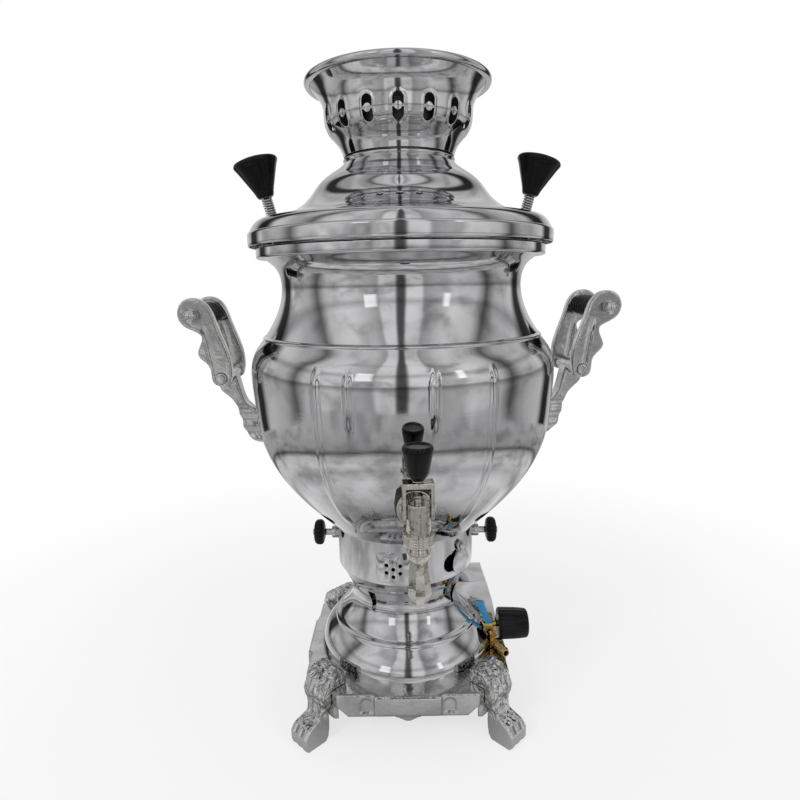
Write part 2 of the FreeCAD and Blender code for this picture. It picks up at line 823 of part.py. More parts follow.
def make_valve_tag():
    """A plain coloured tag on the guard's front face."""
    y = -guard_half
    outline = ((guard_x - 20, base_top + 44), (guard_x - 13, base_top + 44), (guard_x - 3.5, base_top + 21),
               (guard_x - 10, base_top + 21))
    return prism(outline, V(0, -tag_wall, 0), lambda u, v: V(u, y, v))


# Urn
def rib(degrees, low, high):
    """A raised ridge that follows the urn's side."""
    outer = curve(urn_line)
    heights = [low + (high - low) * k / 6 for k in range(7)]
    path = []
    for h in heights:
        at = outer.intersectCC(Part.LineSegment(V(0, 0, urn_low + h), V(400, 0, urn_low + h)))[0]
        sink = rib_r - rib_rise
        if h in (heights[0], heights[-1]):
            sink = rib_r + 0.6
        path.append(V(at.X - sink, 0, urn_low + h))
    spline = Part.BSplineCurve()
    spline.interpolate(Points=path)
    wire = Part.Wire(spline.toShape())
    start = spline.tangent(0)[0]
    section = Part.Wire(Part.makeCircle(rib_r, path[0], start))
    solid = wire.makePipeShell([section], True, True)
    return about_z(solid, degrees - 90)


urn_seam = urn_low + body_gap + seam_up


def make_urn():
    """The whole outer skin, before it is parted at the waist bead."""
    shell = spun_sheet(urn_line, sheet_wall)
    waist = ring(neck_r + 15.6, bead_r, urn_seam)
    space = spun_fill(inward(urn_line, sheet_wall))
    solid = shell.fuse(waist.cut(space))
    for degrees in long_ribs:
        solid = solid.fuse(rib(degrees, long_rib_low, rib_top + 2).cut(space))
    for degrees in short_ribs:
        solid = solid.fuse(rib(degrees, short_rib_low, rib_top).cut(space))
    tap_z = urn_low + tap_up
    solid = solid.cut(rod(tap_barrel_r, V(0, -60, tap_z), V(0, -160, tap_z)))
    for side in (-1, 1):
        at = handle_screw_line(side)
        solid = solid.cut(rod(handle_screw_r, at[0], at[1]))
    return solid.removeSplitter()


def make_urn_halves():
    whole = make_urn()
    below = Part.makeCylinder(belly_r * 2, urn_seam, V(0, 0, 0))
    return whole.common(below), whole.cut(below)


def handle_screw_line(side):
    z = urn_low + handle_screw_up
    return V(side * 80, 0, z), V(side * handle_screw_reach, 0, z)


def make_foot_ring():
    low = urn_low - urn_foot_ring_drop
    floor = urn_low + tank_floor_up
    r = housing_in - body_gap
    return tube(r, r - sheet_wall, low, floor)


def make_tank_floor():
    low = urn_low + tank_floor_up
    disc = tube(belly_r, flue_r, low, low + sheet_wall)
    return disc.common(spun_fill(inward(urn_line, sheet_wall + shaft_gap)))


def make_flue():
    return tube(flue_r, flue_r - sheet_wall, urn_low + tank_floor_up - 8, urn_low + flue_height)


def make_mouth_ring():
    solid = turned(((ring_r - ring_wall, shell_top), (ring_r - 1, shell_top), (ring_r, shell_top + 1.5),
                    (ring_r, ring_top - 1.5), (ring_r - 1, ring_top), (ring_r - ring_wall, ring_top)))
    return solid.cut(spun_sheet(urn_line, sheet_wall))


# Tap
tap_z = urn_low + tap_up


def urn_solid():
    return spun_fill(urn_line)


def make_tap_gasket():
    washer = rod(tap_flange_r + 1, V(0, -tap_wall_r + 16, tap_z), V(0, -tap_wall_r - 9, tap_z))
    washer = washer.cut(urn_solid())
    return washer.cut(rod(tap_barrel_r, V(0, -60, tap_z), V(0, -150, tap_z)))


def make_tap_body():
    front = -tap_wall_r - 9
    flange = rod(tap_flange_r, V(0, front, tap_z), V(0, front - tap_flange_wall, tap_z))
    barrel = rod(tap_barrel_r, V(0, -tap_wall_r + 24, tap_z), V(0, tap_body_y, tap_z))
    shank_end = V(0, -tap_wall_r + 24, tap_z)
    low = V(0, tap_body_y, tap_z + tap_body_low)
    high = V(0, tap_body_y, tap_z + tap_body_high)
    pillar = rod(tap_body_r, low, high)
    solid = join(flange, barrel, pillar)
    solid = solid.cut(rod(tap_barrel_bore, shank_end + V(0, 1, 0), V(0, tap_body_y, tap_z)))
    chamber = rod(tap_barrel_bore, low - V(0, 0, 1), V(0, tap_body_y, tap_z + 3))
    solid = solid.cut(chamber)
    solid = solid.cut(rod(tap_stem_r + shaft_gap, low, high + V(0, 0, 1)))
    flats = 2 * (lever_half - lever_wall / 2 - body_gap)
    swing = math.hypot(tap_pin_back + lever_width / 2, tap_pin_up - cheek_low)
    flats_low = tap_z + tap_pin_up - swing - body_gap
    wide = box((-50, tap_body_y - 12, flats_low), (50, tap_body_y + 12, tap_z + tap_body_high + 1))
    narrow = box((-flats / 2, tap_body_y - 13, flats_low - 1), (flats / 2, tap_body_y + 13, tap_z + 60))
    solid = solid.cut(wide.cut(narrow))
    pin_z = tap_z + tap_pin_up
    pin_y = tap_body_y + tap_pin_back
    slot = rod(tap_pin_r, V(-20, pin_y, pin_z), V(20, pin_y, pin_z))
    return solid.cut(slot)


def make_tap_stem():
    """The valve spindle: its lower disc closes the seat above the nozzle."""
    low = tap_z + tap_body_low + 0.6
    high = tap_z + tap_body_high + tap_stem_rise
    x, y = 0, tap_body_y
    shank = rod(tap_stem_r, V(x, y, low + 1), V(x, y, high))
    disc = rod(tap_barrel_bore - 0.3, V(x, y, low), V(x, y, low + 3))
    return join(shank, disc)


def make_tap_nut():
    low = tap_z + tap_body_low - 2
    solid = Part.makeCylinder(tap_nut_r, tap_nut_height, V(0, tap_body_y, low))
    for h in (2.2, 4.0, 5.8):
        groove = Part.makeTorus(tap_nut_r + 0.3, 0.6, V(0, tap_body_y, low + h), V(0, 0, 1))
        solid = solid.cut(groove)
    upper = rod(tap_body_r, V(0, tap_body_y, tap_z + tap_body_low), V(0, tap_body_y, tap_z + 10))
    lower = rod(nozzle_neck_r, V(0, tap_body_y, low - 1), V(0, tap_body_y, tap_z + tap_body_low))
    barrel = rod(tap_barrel_r, V(0, tap_body_y, tap_z), V(0, tap_body_y + 40, tap_z))
    return solid.cut(upper).cut(lower).cut(barrel)


def make_nozzle():
    """An eight-sided spout that flares and then closes in at its mouth."""
    top = tap_z + tap_body_low
    base = V(0, tap_body_y, top)
    neck = rod(nozzle_neck_r, base, base - V(0, 0, 14))

    def octagon(radius, z):
        corners = [V(radius * math.cos(math.radians(22.5 + 45 * k)),
                     tap_body_y + radius * math.sin(math.radians(22.5 + 45 * k)), z) for k in range(8)]
        return Part.makePolygon(corners + [corners[0]])

    low = top - nozzle_length + 5
    flare = Part.makeLoft([octagon(nozzle_neck_r - 0.5, top - 10), octagon(nozzle_flare_r, low)], True, True)
    lip = Part.makeLoft([octagon(nozzle_flare_r, low), octagon(nozzle_mouth_r, top - nozzle_length)],
                        True, True)
    solid = join(neck, flare, lip)
    return solid.cut(rod(nozzle_bore, base + V(0, 0, 1), base - V(0, 0, nozzle_length + 1)))


def make_tap_locknut():
    """The nut and washer that hold the tap from inside the tank."""
    wall_in = -tap_wall_r + 24
    nut = hexagon(tap_locknut_r, tap_locknut_wall, V(0, wall_in - tap_locknut_wall + 1, tap_z), V(0, 1, 0))
    seat = rod(tap_flange_r, V(0, wall_in - tap_locknut_wall + 1, tap_z), V(0, -tap_wall_r - 5, tap_z))
    seat = seat.common(spun_fill(inward(urn_line, sheet_wall)))
    solid = nut.fuse(seat)
    return solid.cut(rod(tap_barrel_r, V(0, wall_in - 20, tap_z), V(0, wall_in + 20, tap_z))).cut(
        rod(tap_barrel_r, V(0, wall_in - 60, tap_z), V(0, wall_in + 20, tap_z)))


def make_lever():
    """Two cheeks on the pin, joined by a boss under the knob."""
    pivot_y = tap_body_y + tap_pin_back
    cheek_front = tap_body_y - lever_width / 2
    cheek_back = pivot_y + 2
    solid = None
    for side in (-1, 1):
        inner = side * (lever_half - lever_wall / 2)
        outer = side * (lever_half + lever_wall / 2)
        low, high = sorted((inner, outer))
        cheek = box((low, cheek_front, tap_z + cheek_low), (high, cheek_back, tap_z + lever_high))
        foot = rod(5.0, V(low, pivot_y, tap_z + tap_pin_up), V(high, pivot_y, tap_z + tap_pin_up))
        cheek = cheek.fuse(foot)
        solid = cheek if solid is None else solid.fuse(cheek)
    bridge = box((-lever_half - lever_wall / 2, cheek_front, tap_z + lever_high - 1),
                 (lever_half + lever_wall / 2, cheek_back, tap_z + lever_high + 3))
    spike = rod(3.0, V(0, tap_body_y, tap_z + lever_high), V(0, tap_body_y, tap_z + tap_knob_low + 8))
    solid = join(solid, bridge, spike)
    pin = rod(tap_pin_r + shaft_gap, V(-20, pivot_y, tap_z + tap_pin_up), V(20, pivot_y, tap_z + tap_pin_up))
    return solid.cut(pin)


def make_lever_pin():
    pivot_y = tap_body_y + tap_pin_back
    z = tap_z + tap_pin_up
    reach = lever_half + lever_wall / 2 + body_gap
    shank = rod(tap_pin_r, V(-reach - 1, pivot_y, z), V(reach + 1, pivot_y, z))
    heads = [rod(tap_pin_r + 1.4, V(side * reach, pivot_y, z), V(side * (reach + 1.4), pivot_y, z))
             for side in (-1, 1)]
    return join(shank, *heads)


def make_tap_knob():
    low = tap_z + tap_knob_low
    height = tap_knob_high - tap_knob_low
    solid = turned(((0, 0), (4, 0), (7.5, 5), (tap_knob_r, height - 2), (tap_knob_r - 0.8, height),
                    (tap_knob_r - 2, height), (tap_knob_r - 3, height - 1), (0, height - 1)),
                   V(0, tap_body_y, low))
    return solid.cut(rod(3.0, V(0, tap_body_y, low - 1), V(0, tap_body_y, low + 8)))


# Handles, made on the right and mirrored
def side_place(y):
    return lambda u, v: V(u, y, v)


def make_arm(y):
    """One scroll-shaped arm, from the knuckle bar up to the grip."""
    kr, kz = knuckle_at
    gr, gz = grip_at
    outline = ((kr - 7, kz - 4), (kr - 8.5, kz + 12), (kr - 5, kz + 27), (kr + 1, kz + 44),
               (gr - 13, gz + 6),
               (gr - 5, gz + 13), (gr + 7, gz + 11.5), (gr + 12, gz), (gr + 6, gz - 9.5),
               (kr + 13, kz + 34), (kr + 17, kz + 20), (kr + 9, kz + 10), (kr + 5, kz - 5))
    solid = rounded([(r, base_top + z) for r, z in outline], V(0, arm_wall, 0), side_place(y - arm_wall / 2))
    solid = solid.cut(rod(handle_bolt_r, V(gr, -60, base_top + gz), V(gr, 60, base_top + gz)))
    return solid.cut(rod(knuckle_r - 2, V(kr, -60, base_top + kz), V(kr, 60, base_top + kz)))


def make_handle_stem():
    """The leafy stem from the urn's side to the knuckle bar between the arms."""
    kr, kz = knuckle_at
    low = base_top
    outline = ((kr + 5, kz - 2), (kr - 3, kz + 5), (kr - 9, kz - 9), (kr - 14, kz - 25), (kr - 24, kz - 34),
               (kr - 36, kz - 46), (kr - 30, kz - 60), (kr - 17, kz - 57), (kr - 10, kz - 44),
               (kr - 1, kz - 20))
    solid = rounded([(r, low + z) for r, z in outline], V(0, 2 * stem_half, 0), side_place(-stem_half))
    inner = arm_y - arm_wall / 2
    bar = rod(knuckle_r, V(kr, -inner, low + kz), V(kr, inner, low + kz))
    pegs = rod(knuckle_r - 2, V(kr, -inner - arm_wall - 1, low + kz), V(kr, inner + arm_wall + 1, low + kz))
    solid = join(solid, bar, pegs).cut(urn_solid())
    keep = max(solid.Solids, key=lambda piece: piece.Volume)
    at = handle_screw_line(1)
    return keep.cut(rod(handle_screw_r, at[0], at[1]))


def make_grip():
    gr, gz = grip_at
    half = arm_y - arm_wall / 2
    solid = rod(grip_r, V(gr, -half, base_top + gz), V(gr, half, base_top + gz))
    pitch = 2 * half / (grip_ribs + 1)
    for k in range(grip_ribs):
        at = V(gr, -half + pitch * (k + 1), base_top + gz)
        solid = solid.cut(Part.makeTorus(grip_r + 0.4, grip_groove, at, V(0, 1, 0)))
    return solid.cut(rod(handle_bolt_r, V(gr, -60, base_top + gz), V(gr, 60, base_top + gz)))


def make_grip_bolt():
    gr, gz = grip_at
    reach = arm_y + arm_wall / 2
    z = base_top + gz
    shank = rod(handle_bolt_r, V(gr, -reach - 2, z), V(gr, reach + 2, z))
    pieces = [shank]
    for side in (-1, 1):
        pieces.append(rod(handle_ball_r - 2, V(gr, side * reach, z), V(gr, side * (reach + 3), z)))
        pieces.append(Part.makeSphere(handle_ball_r, V(gr, side * (reach + 5.5), z)))
    solid = join(*pieces)
    inside = rod(handle_ball_r + 1, V(gr, -reach, z), V(gr, reach, z))
    return solid.cut(inside).fuse(rod(handle_bolt_r, V(gr, -reach - 1, z), V(gr, reach + 1, z)))


def make_handle_screw():
    """The screw and shaped washer that hold one handle from inside the tank."""
    start, end = handle_screw_line(1)
    shank = rod(handle_screw_r, start + V(38, 0, 0), end)
    head = rod(handle_nut_r, start + V(38, 0, 0), end)
    head = head.common(spun_fill(inward(urn_line, sheet_wall)))
    return join(shank, head)


# Lid
def make_lid_cover():
    shell = spun_sheet(lid_line, sheet_wall)
    bead = ring(lid_neck_r, lid_bead_r, lid_bead_z)
    hollow = spun_fill(inward(lid_line, sheet_wall))
    solid = join(shell, bead.cut(hollow))
    for side in (-1, 1):
        base, axis = knob_axis(side)
        solid = solid.cut(rod(lid_stud_r, base - axis * 12, base + axis * 12))
    # The spun edge ends flat on the band
    return solid.cut(Part.makeCylinder(lid_band_r * 2, lid_band_height, V(0, 0, lid_low)))


def make_lid_band():
    """The rolled band with the guide ring that drops into the urn's mouth."""
    low = lid_low
    high = lid_low + lid_band_height
    inner = lid_spigot_r - sheet_wall
    return turned(((inner, low - lid_spigot_drop), (lid_spigot_r, low - lid_spigot_drop),
                   (lid_spigot_r, high - 2 * sheet_wall), (lid_band_r - sheet_wall, high - 2 * sheet_wall),
                   (lid_band_r - sheet_wall, low), (lid_band_r - 0.4, low), (lid_band_r, low + 1.5),
                   (lid_band_r, high - 1.5), (lid_band_r - 1, high), (inner, high)))


def lid_height_at(radius):
    hit = curve(lid_line).intersectCC(Part.LineSegment(V(radius, 0, lid_low), V(radius, 0, lid_low + 90)))[0]
    return hit.Z


def knob_axis(side):
    lean = math.radians(lid_knob_lean)
    return V(side * lid_knob_at, 0, lid_height_at(lid_knob_at)), V(side * math.sin(lean), 0, math.cos(lean))


def make_knob_washer(side):
    base, axis = knob_axis(side)
    solid = rod(lid_washer_r, base - axis * 4, base + axis * (lid_washer_wall + 1.6))
    solid = solid.cut(spun_fill(lid_line))
    return solid.cut(rod(lid_stud_r, base - axis * 9, base + axis * 9))


def spring_start():
    return lid_washer_wall + 1.6 + lid_spring_wire + 0.1


def make_knob_stud(side):
    base, axis = knob_axis(side)
    start = spring_start() + lid_spring_length + lid_spring_wire
    shank = rod(lid_stud_r, base - axis * 6, base + axis * (start + 12))
    nut = hexagon(lid_washer_r, 3.5, base - axis * 5.4, axis)
    return join(shank, nut)


def make_knob(side):
    base, axis = knob_axis(side)
    low = spring_start() + lid_spring_length + lid_spring_wire + 0.1
    rise = lid_knob_height
    solid = turned(((0, 0), (lid_knob_low_r - 1, 0), (lid_knob_low_r, 1.5),
                    (lid_knob_top_r - 1.5, rise - 4), (lid_knob_top_r, rise - 2), (lid_knob_top_r - 1, rise),
                    (lid_knob_top_r * 0.55, rise + lid_knob_dome * 0.8), (0, rise + lid_knob_dome)),
                   base + axis * low, axis, V(0, 1, 0))
    return solid.cut(rod(lid_stud_r, base + axis * (low - 1), base + axis * (low + 12)))


def make_spring(side):
    """A close coil round the stud: one unbroken tube on quarter-turn biarcs."""
    base, axis = knob_axis(side)
    pitch = lid_spring_length / lid_spring_turns
    across = V(0, 1, 0)
    other = axis.cross(across)
    low = spring_start()

    def at(turn):
        angle = 2 * math.pi * turn
        return (base + axis * (low + pitch * turn)
                + across * (lid_spring_r * math.cos(angle)) + other * (lid_spring_r * math.sin(angle)))

    def heading(turn):
        angle = 2 * math.pi * turn
        step = (axis * (pitch / (2 * math.pi)) + across * (-lid_spring_r * math.sin(angle))
                + other * (lid_spring_r * math.cos(angle)))
        return step.normalize()

    edges = []
    for k in range(4 * lid_spring_turns):
        edges += biarc(at(k / 4), heading(k / 4), at((k + 1) / 4), heading((k + 1) / 4))
    path = Part.Wire(edges)
    section = Part.Wire(Part.makeCircle(lid_spring_wire, at(0), heading(0)))
    solid = path.makePipeShell([section], True, False)
    points = [at(k / 48) for k in range(48 * lid_spring_turns + 1)]
    least = min((points[i] - points[j]).Length
                for i in range(len(points)) for j in range(i + 24, len(points)))
    print("least gap of the lid spring to itself", round(least - 2 * lid_spring_wire, 3),
          "volume ratio", round(solid.Volume / (path.Length * math.pi * lid_spring_wire ** 2), 3))
    return solid


def biarc(start, start_way, end, end_way):
    """Two arcs that leave along one direction and arrive along another."""
    gap = end - start
    both = start_way + end_way
    a = 2 * (1 - start_way.dot(end_way))
    b = 2 * gap.dot(both)
    c = -gap.dot(gap)
    reach = (-b + math.sqrt(b * b - 4 * a * c)) / (2 * a) if a > 1e-9 else -c / b
    middle = (start + end + (start_way - end_way) * reach) * 0.5
    return [Part.Arc(start, arc_middle(start, start_way, middle), middle).toShape(),
            Part.Arc(middle, arc_middle(end, end_way * -1, middle), end).toShape()]


def arc_middle(start, way, end):
    """The middle point of the arc that leaves start along way and meets end."""
    chord = end - start
    half = chord * 0.5
    normal = way - chord * (way.dot(chord) / chord.dot(chord))
    length = normal.Length
    if length < 1e-12:
        return start + half
    cosine = way.dot(chord) / chord.Length
    turn = math.acos(max(-1.0, min(1.0, cosine)))
    rise = half.Length * math.tan(turn / 2)
    return start + half + normal * (rise / length)


# Crown
def make_crown():
    shell = spun_sheet(crown_line, sheet_wall)
    z = crown_low + crown_hole_up
    for k in range(crown_holes):
        depth = V(0, -60, 0)
        start = -30
        upper = Part.makeCylinder(crown_hole_half, 60, V(0, start, z + crown_hole_reach), V(0, -1, 0))
        lower = Part.makeCylinder(crown_hole_half, 60, V(0, start, z - crown_hole_reach), V(0, -1, 0))
        middle = box((-crown_hole_half, start + depth.y, z - crown_hole_reach),
                     (crown_hole_half, start, z + crown_hole_reach))
        hole = upper.fuse(lower).fuse(middle)
        land = Part.makeCylinder(crown_land_r, 60, V(0, start, z), V(0, -1, 0))
        bar = box((-20, start + depth.y, z - crown_bar / 2), (20, start, z + crown_bar / 2))
        shell = shell.cut(about_z(hole.cut(land).cut(bar), 360 * k / crown_holes))
    return shell


def make_crown_rim():
    rim = ring(crown_rim_r, rim_bead_r, crown_low + crown_height)
    return rim.cut(spun_sheet(crown_line, sheet_wall))


def main():
    save(make_foot(), "foot_frame")
    for k, name in enumerate(("leg_rear_right", "leg_rear_left", "leg_front_left", "leg_front_right")):
        save(make_leg(k), name)
    save(make_bell(), "pedestal_bell")
    save(Part.makeCompound(make_leg_screws() + make_bell_screws()), "base_screws")
    save(make_housing(), "burner_housing")
    save(make_vent_plate(), "vent_plate")
    save(make_cover(), "ignition_cover")
    save(make_cover_rivet(), "ignition_rivet")
    for name, side in (("right", lambda s: s), ("left", flipped)):
        save(side(make_thumb_stud()), name + "_thumb_stud")
        save(side(make_thumb_knob()), name + "_thumb_knob")
        save(urn_frame(side(make_arm(-arm_y))), name + "_front_arm")
        save(urn_frame(side(make_arm(arm_y))), name + "_rear_arm")
        save(urn_frame(side(make_handle_stem())), name + "_handle_stem")
        save(urn_frame(side(make_grip())), name + "_grip")
    save(pair(make_thumb_nut()), "thumb_nuts")
    save(urn_frame(pair(make_grip_bolt())), "grip_bolts")
    save(urn_frame(pair(make_handle_screw())), "handle_screws")
    save(make_burner_head(), "burner_head")
    save(make_burner_cap(), "burner_cap")
    save(make_gas_pipe(), "gas_pipe")
    save(make_pipe_nuts(), "burner_nut")
    save(make_gas_valve(), "gas_valve")
    save(make_valve_stem(), "valve_stem")
    save(make_valve_knob(), "valve_knob")
    save(make_hose_barb(), "hose_barb")
    save(make_valve_guard(), "valve_guard")
    save(make_valve_tag(), "valve_tag")
    body, neck = make_urn_halves()
    save(urn_frame(body), "urn_shell")
    save(urn_frame(neck), "urn_neck")
    save(make_foot_ring(), "urn_foot_ring")
    save(make_tank_floor(), "tank_floor")
    save(make_flue(), "flue_tube")
    save(make_mouth_ring(), "mouth_ring")
    save(urn_frame(make_tap_gasket()), "tap_gasket")
    save(urn_frame(make_tap_body()), "tap_body")
    save(urn_frame(make_tap_stem()), "tap_stem")
    save(urn_frame(make_tap_nut()), "tap_nut")
    save(urn_frame(make_nozzle()), "tap_nozzle")
    save(urn_frame(make_tap_locknut()), "tap_locknut")
    save(urn_frame(make_lever()), "tap_lever")
    save(urn_frame(make_lever_pin()), "tap_pin")
    save(urn_frame(make_tap_knob()), "tap_knob")
    save(urn_frame(make_lid_cover()), "lid_cover")
    save(make_lid_band(), "lid_band")
    fixings = [make(side) for make in (make_knob_washer, make_knob_stud) for side in (-1, 1)]
    save(urn_frame(Part.makeCompound(fixings)), "lid_knob_fixings")
    for name, side in (("left", -1), ("right", 1)):
        save(urn_frame(make_spring(side)), name + "_lid_spring")
        save(urn_frame(make_knob(side)), name + "_lid_knob")
    save(make_crown(), "crown")
    save(make_crown_rim(), "crown_rim")


main()
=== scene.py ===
import json
import math

import bmesh
import bpy
from mathutils import Matrix, Vector

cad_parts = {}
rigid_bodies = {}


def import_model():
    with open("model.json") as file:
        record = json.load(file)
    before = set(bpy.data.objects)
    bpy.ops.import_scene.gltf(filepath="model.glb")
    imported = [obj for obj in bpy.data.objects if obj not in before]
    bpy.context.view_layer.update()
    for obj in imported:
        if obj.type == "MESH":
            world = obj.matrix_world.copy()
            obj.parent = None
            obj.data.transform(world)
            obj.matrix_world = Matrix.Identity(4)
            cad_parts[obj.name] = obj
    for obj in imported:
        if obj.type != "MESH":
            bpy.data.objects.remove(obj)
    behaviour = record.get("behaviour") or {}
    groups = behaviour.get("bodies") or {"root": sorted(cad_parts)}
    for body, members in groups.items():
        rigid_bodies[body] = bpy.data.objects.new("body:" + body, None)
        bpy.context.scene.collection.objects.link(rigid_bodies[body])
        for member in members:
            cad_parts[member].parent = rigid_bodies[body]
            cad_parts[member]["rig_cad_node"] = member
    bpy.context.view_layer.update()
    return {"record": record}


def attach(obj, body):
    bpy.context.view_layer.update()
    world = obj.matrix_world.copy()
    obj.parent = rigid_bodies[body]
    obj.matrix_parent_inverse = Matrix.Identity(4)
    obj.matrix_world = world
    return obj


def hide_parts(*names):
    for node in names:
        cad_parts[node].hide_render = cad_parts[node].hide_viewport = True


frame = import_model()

# Sizes of the stand and the urn, in millimetres from the floor
MM = 0.001
BASE_TOP = 46.0
SHEET = 1.2
HOUSING_LOW = 128.0
HOUSING_TOP = 167.0
URN_LOW = 167.3
SHELL_TOP = 397.7
RING_TOP = 406.7
LID_LOW = 407.0
CROWN_LOW = 477.8
CROWN_HEIGHT = 55.0
TAP_AXIS = 221.0
TAP_Y = -147.0
URN_TURN = 3.5
VALVE_Y = -12.0
VALVE_Z = 63.0
VALVE_KNOB_X = 85.0

# Creases, in degrees, and the gap that closes a seam
SHARP = 38.0
EASED_SHARP = 32.0
SEAM_GAP = 0.02

# The camera of the photograph
PHOTO_LENS = 27.0
PHOTO_SENSOR = 36.0
CAMERA_AT = (0.0, -0.5228, 0.3788)
CAMERA_PITCH = 11.23
CAMERA_YAW = 0.292
CAMERA_ROLL = 1.018


# Outlines

def through(points, steps=10):
    """Points on a natural cubic curve through the given (radius, height) points."""
    n = len(points)
    knots = [0.0]
    for (r0, z0), (r1, z1) in zip(points, points[1:]):
        knots.append(knots[-1] + math.hypot(r1 - r0, z1 - z0))
    curves = [bend_values(knots, [p[k] for p in points]) for k in (0, 1)]
    line = []
    for i in range(n - 1):
        span = knots[i + 1] - knots[i]
        for j in range(steps):
            t = j / steps
            line.append(tuple(cubic(points[i][k], points[i + 1][k], curves[k][i], curves[k][i + 1], span, t)
                              for k in (0, 1)))
    line.append(tuple(points[-1]))
    return line


def bend_values(knots, values):
    """Second derivatives of a natural cubic spline."""
    n = len(values)
    lower, middle, upper, right = [0.0] * n, [1.0] * n, [0.0] * n, [0.0] * n
    for i in range(1, n - 1):
        before, after = knots[i] - knots[i - 1], knots[i + 1] - knots[i]
        lower[i], middle[i], upper[i] = before, 2 * (before + after), after
        right[i] = 6 * ((values[i + 1] - values[i]) / after - (values[i] - values[i - 1]) / before)
    for i in range(1, n):
        share = lower[i] / middle[i - 1]
        middle[i] -= share * upper[i - 1]
        right[i] -= share * right[i - 1]
    bends = [0.0] * n
    for i in range(n - 2, 0, -1):
        bends[i] = (right[i] - upper[i] * bends[i + 1]) / middle[i]
    return bends


def cubic(a, b, bend_a, bend_b, span, t):
    u = 1 - t
    return a * u + b * t + ((u ** 3 - u) * bend_a + (t ** 3 - t) * bend_b) * span * span / 6


def normals_of(line):
    """Unit normals to the left of an open outline."""
    normals = []
    for i in range(len(line)):
        before, after = line[max(i - 1, 0)], line[min(i + 1, len(line) - 1)]
        dr, dz = after[0] - before[0], after[1] - before[1]
        length = math.hypot(dr, dz) or 1.0
        normals.append((-dz / length, dr / length))
    return normals


def walled(line, wall=SHEET, edge=3, keep=1):
    """A closed outline of a sheet, with rounded edges at both ends and fewer points inside."""
    inner = [(r + n[0] * wall, z + n[1] * wall) for (r, z), n in zip(line, normals_of(line))]
    inner = [point for i, point in enumerate(inner) if i % keep == 0 or i == len(inner) - 1]
    closed = list(line)
    closed += round_end(line[-2], line[-1], inner[-1], edge)
    closed += list(reversed(inner))
    closed += round_end(line[1], line[0], inner[0], edge)[::-1]
    return closed


def round_end(before, outer, inner, edge):
    """Half-round points that join the outer edge of a sheet to its inner edge."""
    middle = ((outer[0] + inner[0]) / 2, (outer[1] + inner[1]) / 2)
    half = (outer[0] - middle[0], outer[1] - middle[1])
    dr, dz = outer[0] - before[0], outer[1] - before[1]
    length = math.hypot(dr, dz) or 1.0
    reach = math.hypot(*half) * 0.4
    out = (dr / length * reach, dz / length * reach)
    points = []
    for k in range(1, edge + 1):
        angle = math.pi * k / (edge + 1)
        points.append((middle[0] + half[0] * math.cos(angle) + out[0] * math.sin(angle),
                       middle[1] + half[1] * math.cos(angle) + out[1] * math.sin(angle)))
    return points


def softened(points, radius, steps=4, closed=True):
    """An outline of straight lines with its corners rounded."""
    soft = []
    n = len(points)
    for i, (r, z) in enumerate(points):
        if not closed and i in (0, n - 1):
            soft.append((r, z))
            continue
        before, after = points[i - 1], points[(i + 1) % n]
        to_before = (before[0] - r, before[1] - z)
        to_after = (after[0] - r, after[1] - z)
        long_before, long_after = math.hypot(*to_before), math.hypot(*to_after)
        if min(long_before, long_after) < 1e-6:
            continue
        cut = min(radius, long_before * 0.45, long_after * 0.45)
        start = (r + to_before[0] / long_before * cut, z + to_before[1] / long_before * cut)
        end = (r + to_after[0] / long_after * cut, z + to_after[1] / long_after * cut)
        for k in range(steps + 1):
            t = k / steps
            soft.append(tuple((1 - t) ** 2 * start[c] + 2 * t * (1 - t) * (r, z)[c] + t * t * end[c]
                              for c in (0, 1)))
    return soft


def circle(count):
    """Points round the unit circle."""
    return [(math.cos(2 * math.pi * k / count), math.sin(2 * math.pi * k / count)) for k in range(count)]


# Meshes

def new_piece(name, vertices, faces, sharp=SHARP):
    mesh = bpy.data.meshes.new(name)
    mesh.from_pydata([Vector(v) * MM for v in vertices], [], faces)
    shape = bmesh.new()
    shape.from_mesh(mesh)
    bmesh.ops.remove_doubles(shape, verts=shape.verts, dist=1e-7)
    bmesh.ops.recalc_face_normals(shape, faces=shape.faces)
    shape.to_mesh(mesh)
    shape.free()
    return shaded(placed(name, mesh), sharp)


def placed(name, data):
    """A new object in the scene, at its origin."""
    thing = bpy.data.objects.new(name, data)
    bpy.context.scene.collection.objects.link(thing)
    return thing


def shaded(piece, sharp=None):
    """Smooth faces, with creases where they meet at more than the sharp angle."""
    for face in piece.data.polygons:
        face.use_smooth = True
    if sharp:
        piece.data.set_sharp_from_angle(angle=math.radians(sharp))
    return piece


def frame_of(axis, right=None):
    """Three directions, the last along the axis."""
    axis = Vector(axis).normalized()
    side = Vector(right) if right else (Vector((1, 0, 0)) if abs(axis.x) < 0.9 else Vector((0, 1, 0)))
    side = (side - axis * side.dot(axis)).normalized()
    return side, axis.cross(side), axis


def lathed(name, outline, segments=192, base=(0, 0, 0), axis=(0, 0, 1), swell=None,
           sharp=SHARP, closed=True):
    """A turned piece from a (radius, height) outline. swell(angle, radius, height) changes the radius."""
    side, other, along = frame_of(axis)
    base = Vector(base)
    vertices, faces = [], []
    for k in range(segments):
        angle = 2 * math.pi * k / segments
        way = side * math.cos(angle) + other * math.sin(angle)
        for r, z in outline:
            radius = swell(angle, r, z) if swell else r
            vertices.append(base + way * radius + along * z)
    rows = len(outline)
    last = rows if closed else rows - 1
    for k in range(segments):
        for i in range(last):
            j = (i + 1) % rows
            a, b = k * rows, ((k + 1) % segments) * rows
            faces.append((a + i, b + i, b + j, a + j))
    return new_piece(name, vertices, faces, sharp)


def turned(piece, degrees=URN_TURN):
    """Turn a finished mesh about the urn's axis."""
    piece.data.transform(Matrix.Rotation(math.radians(degrees), 4, "Z"))
    return piece


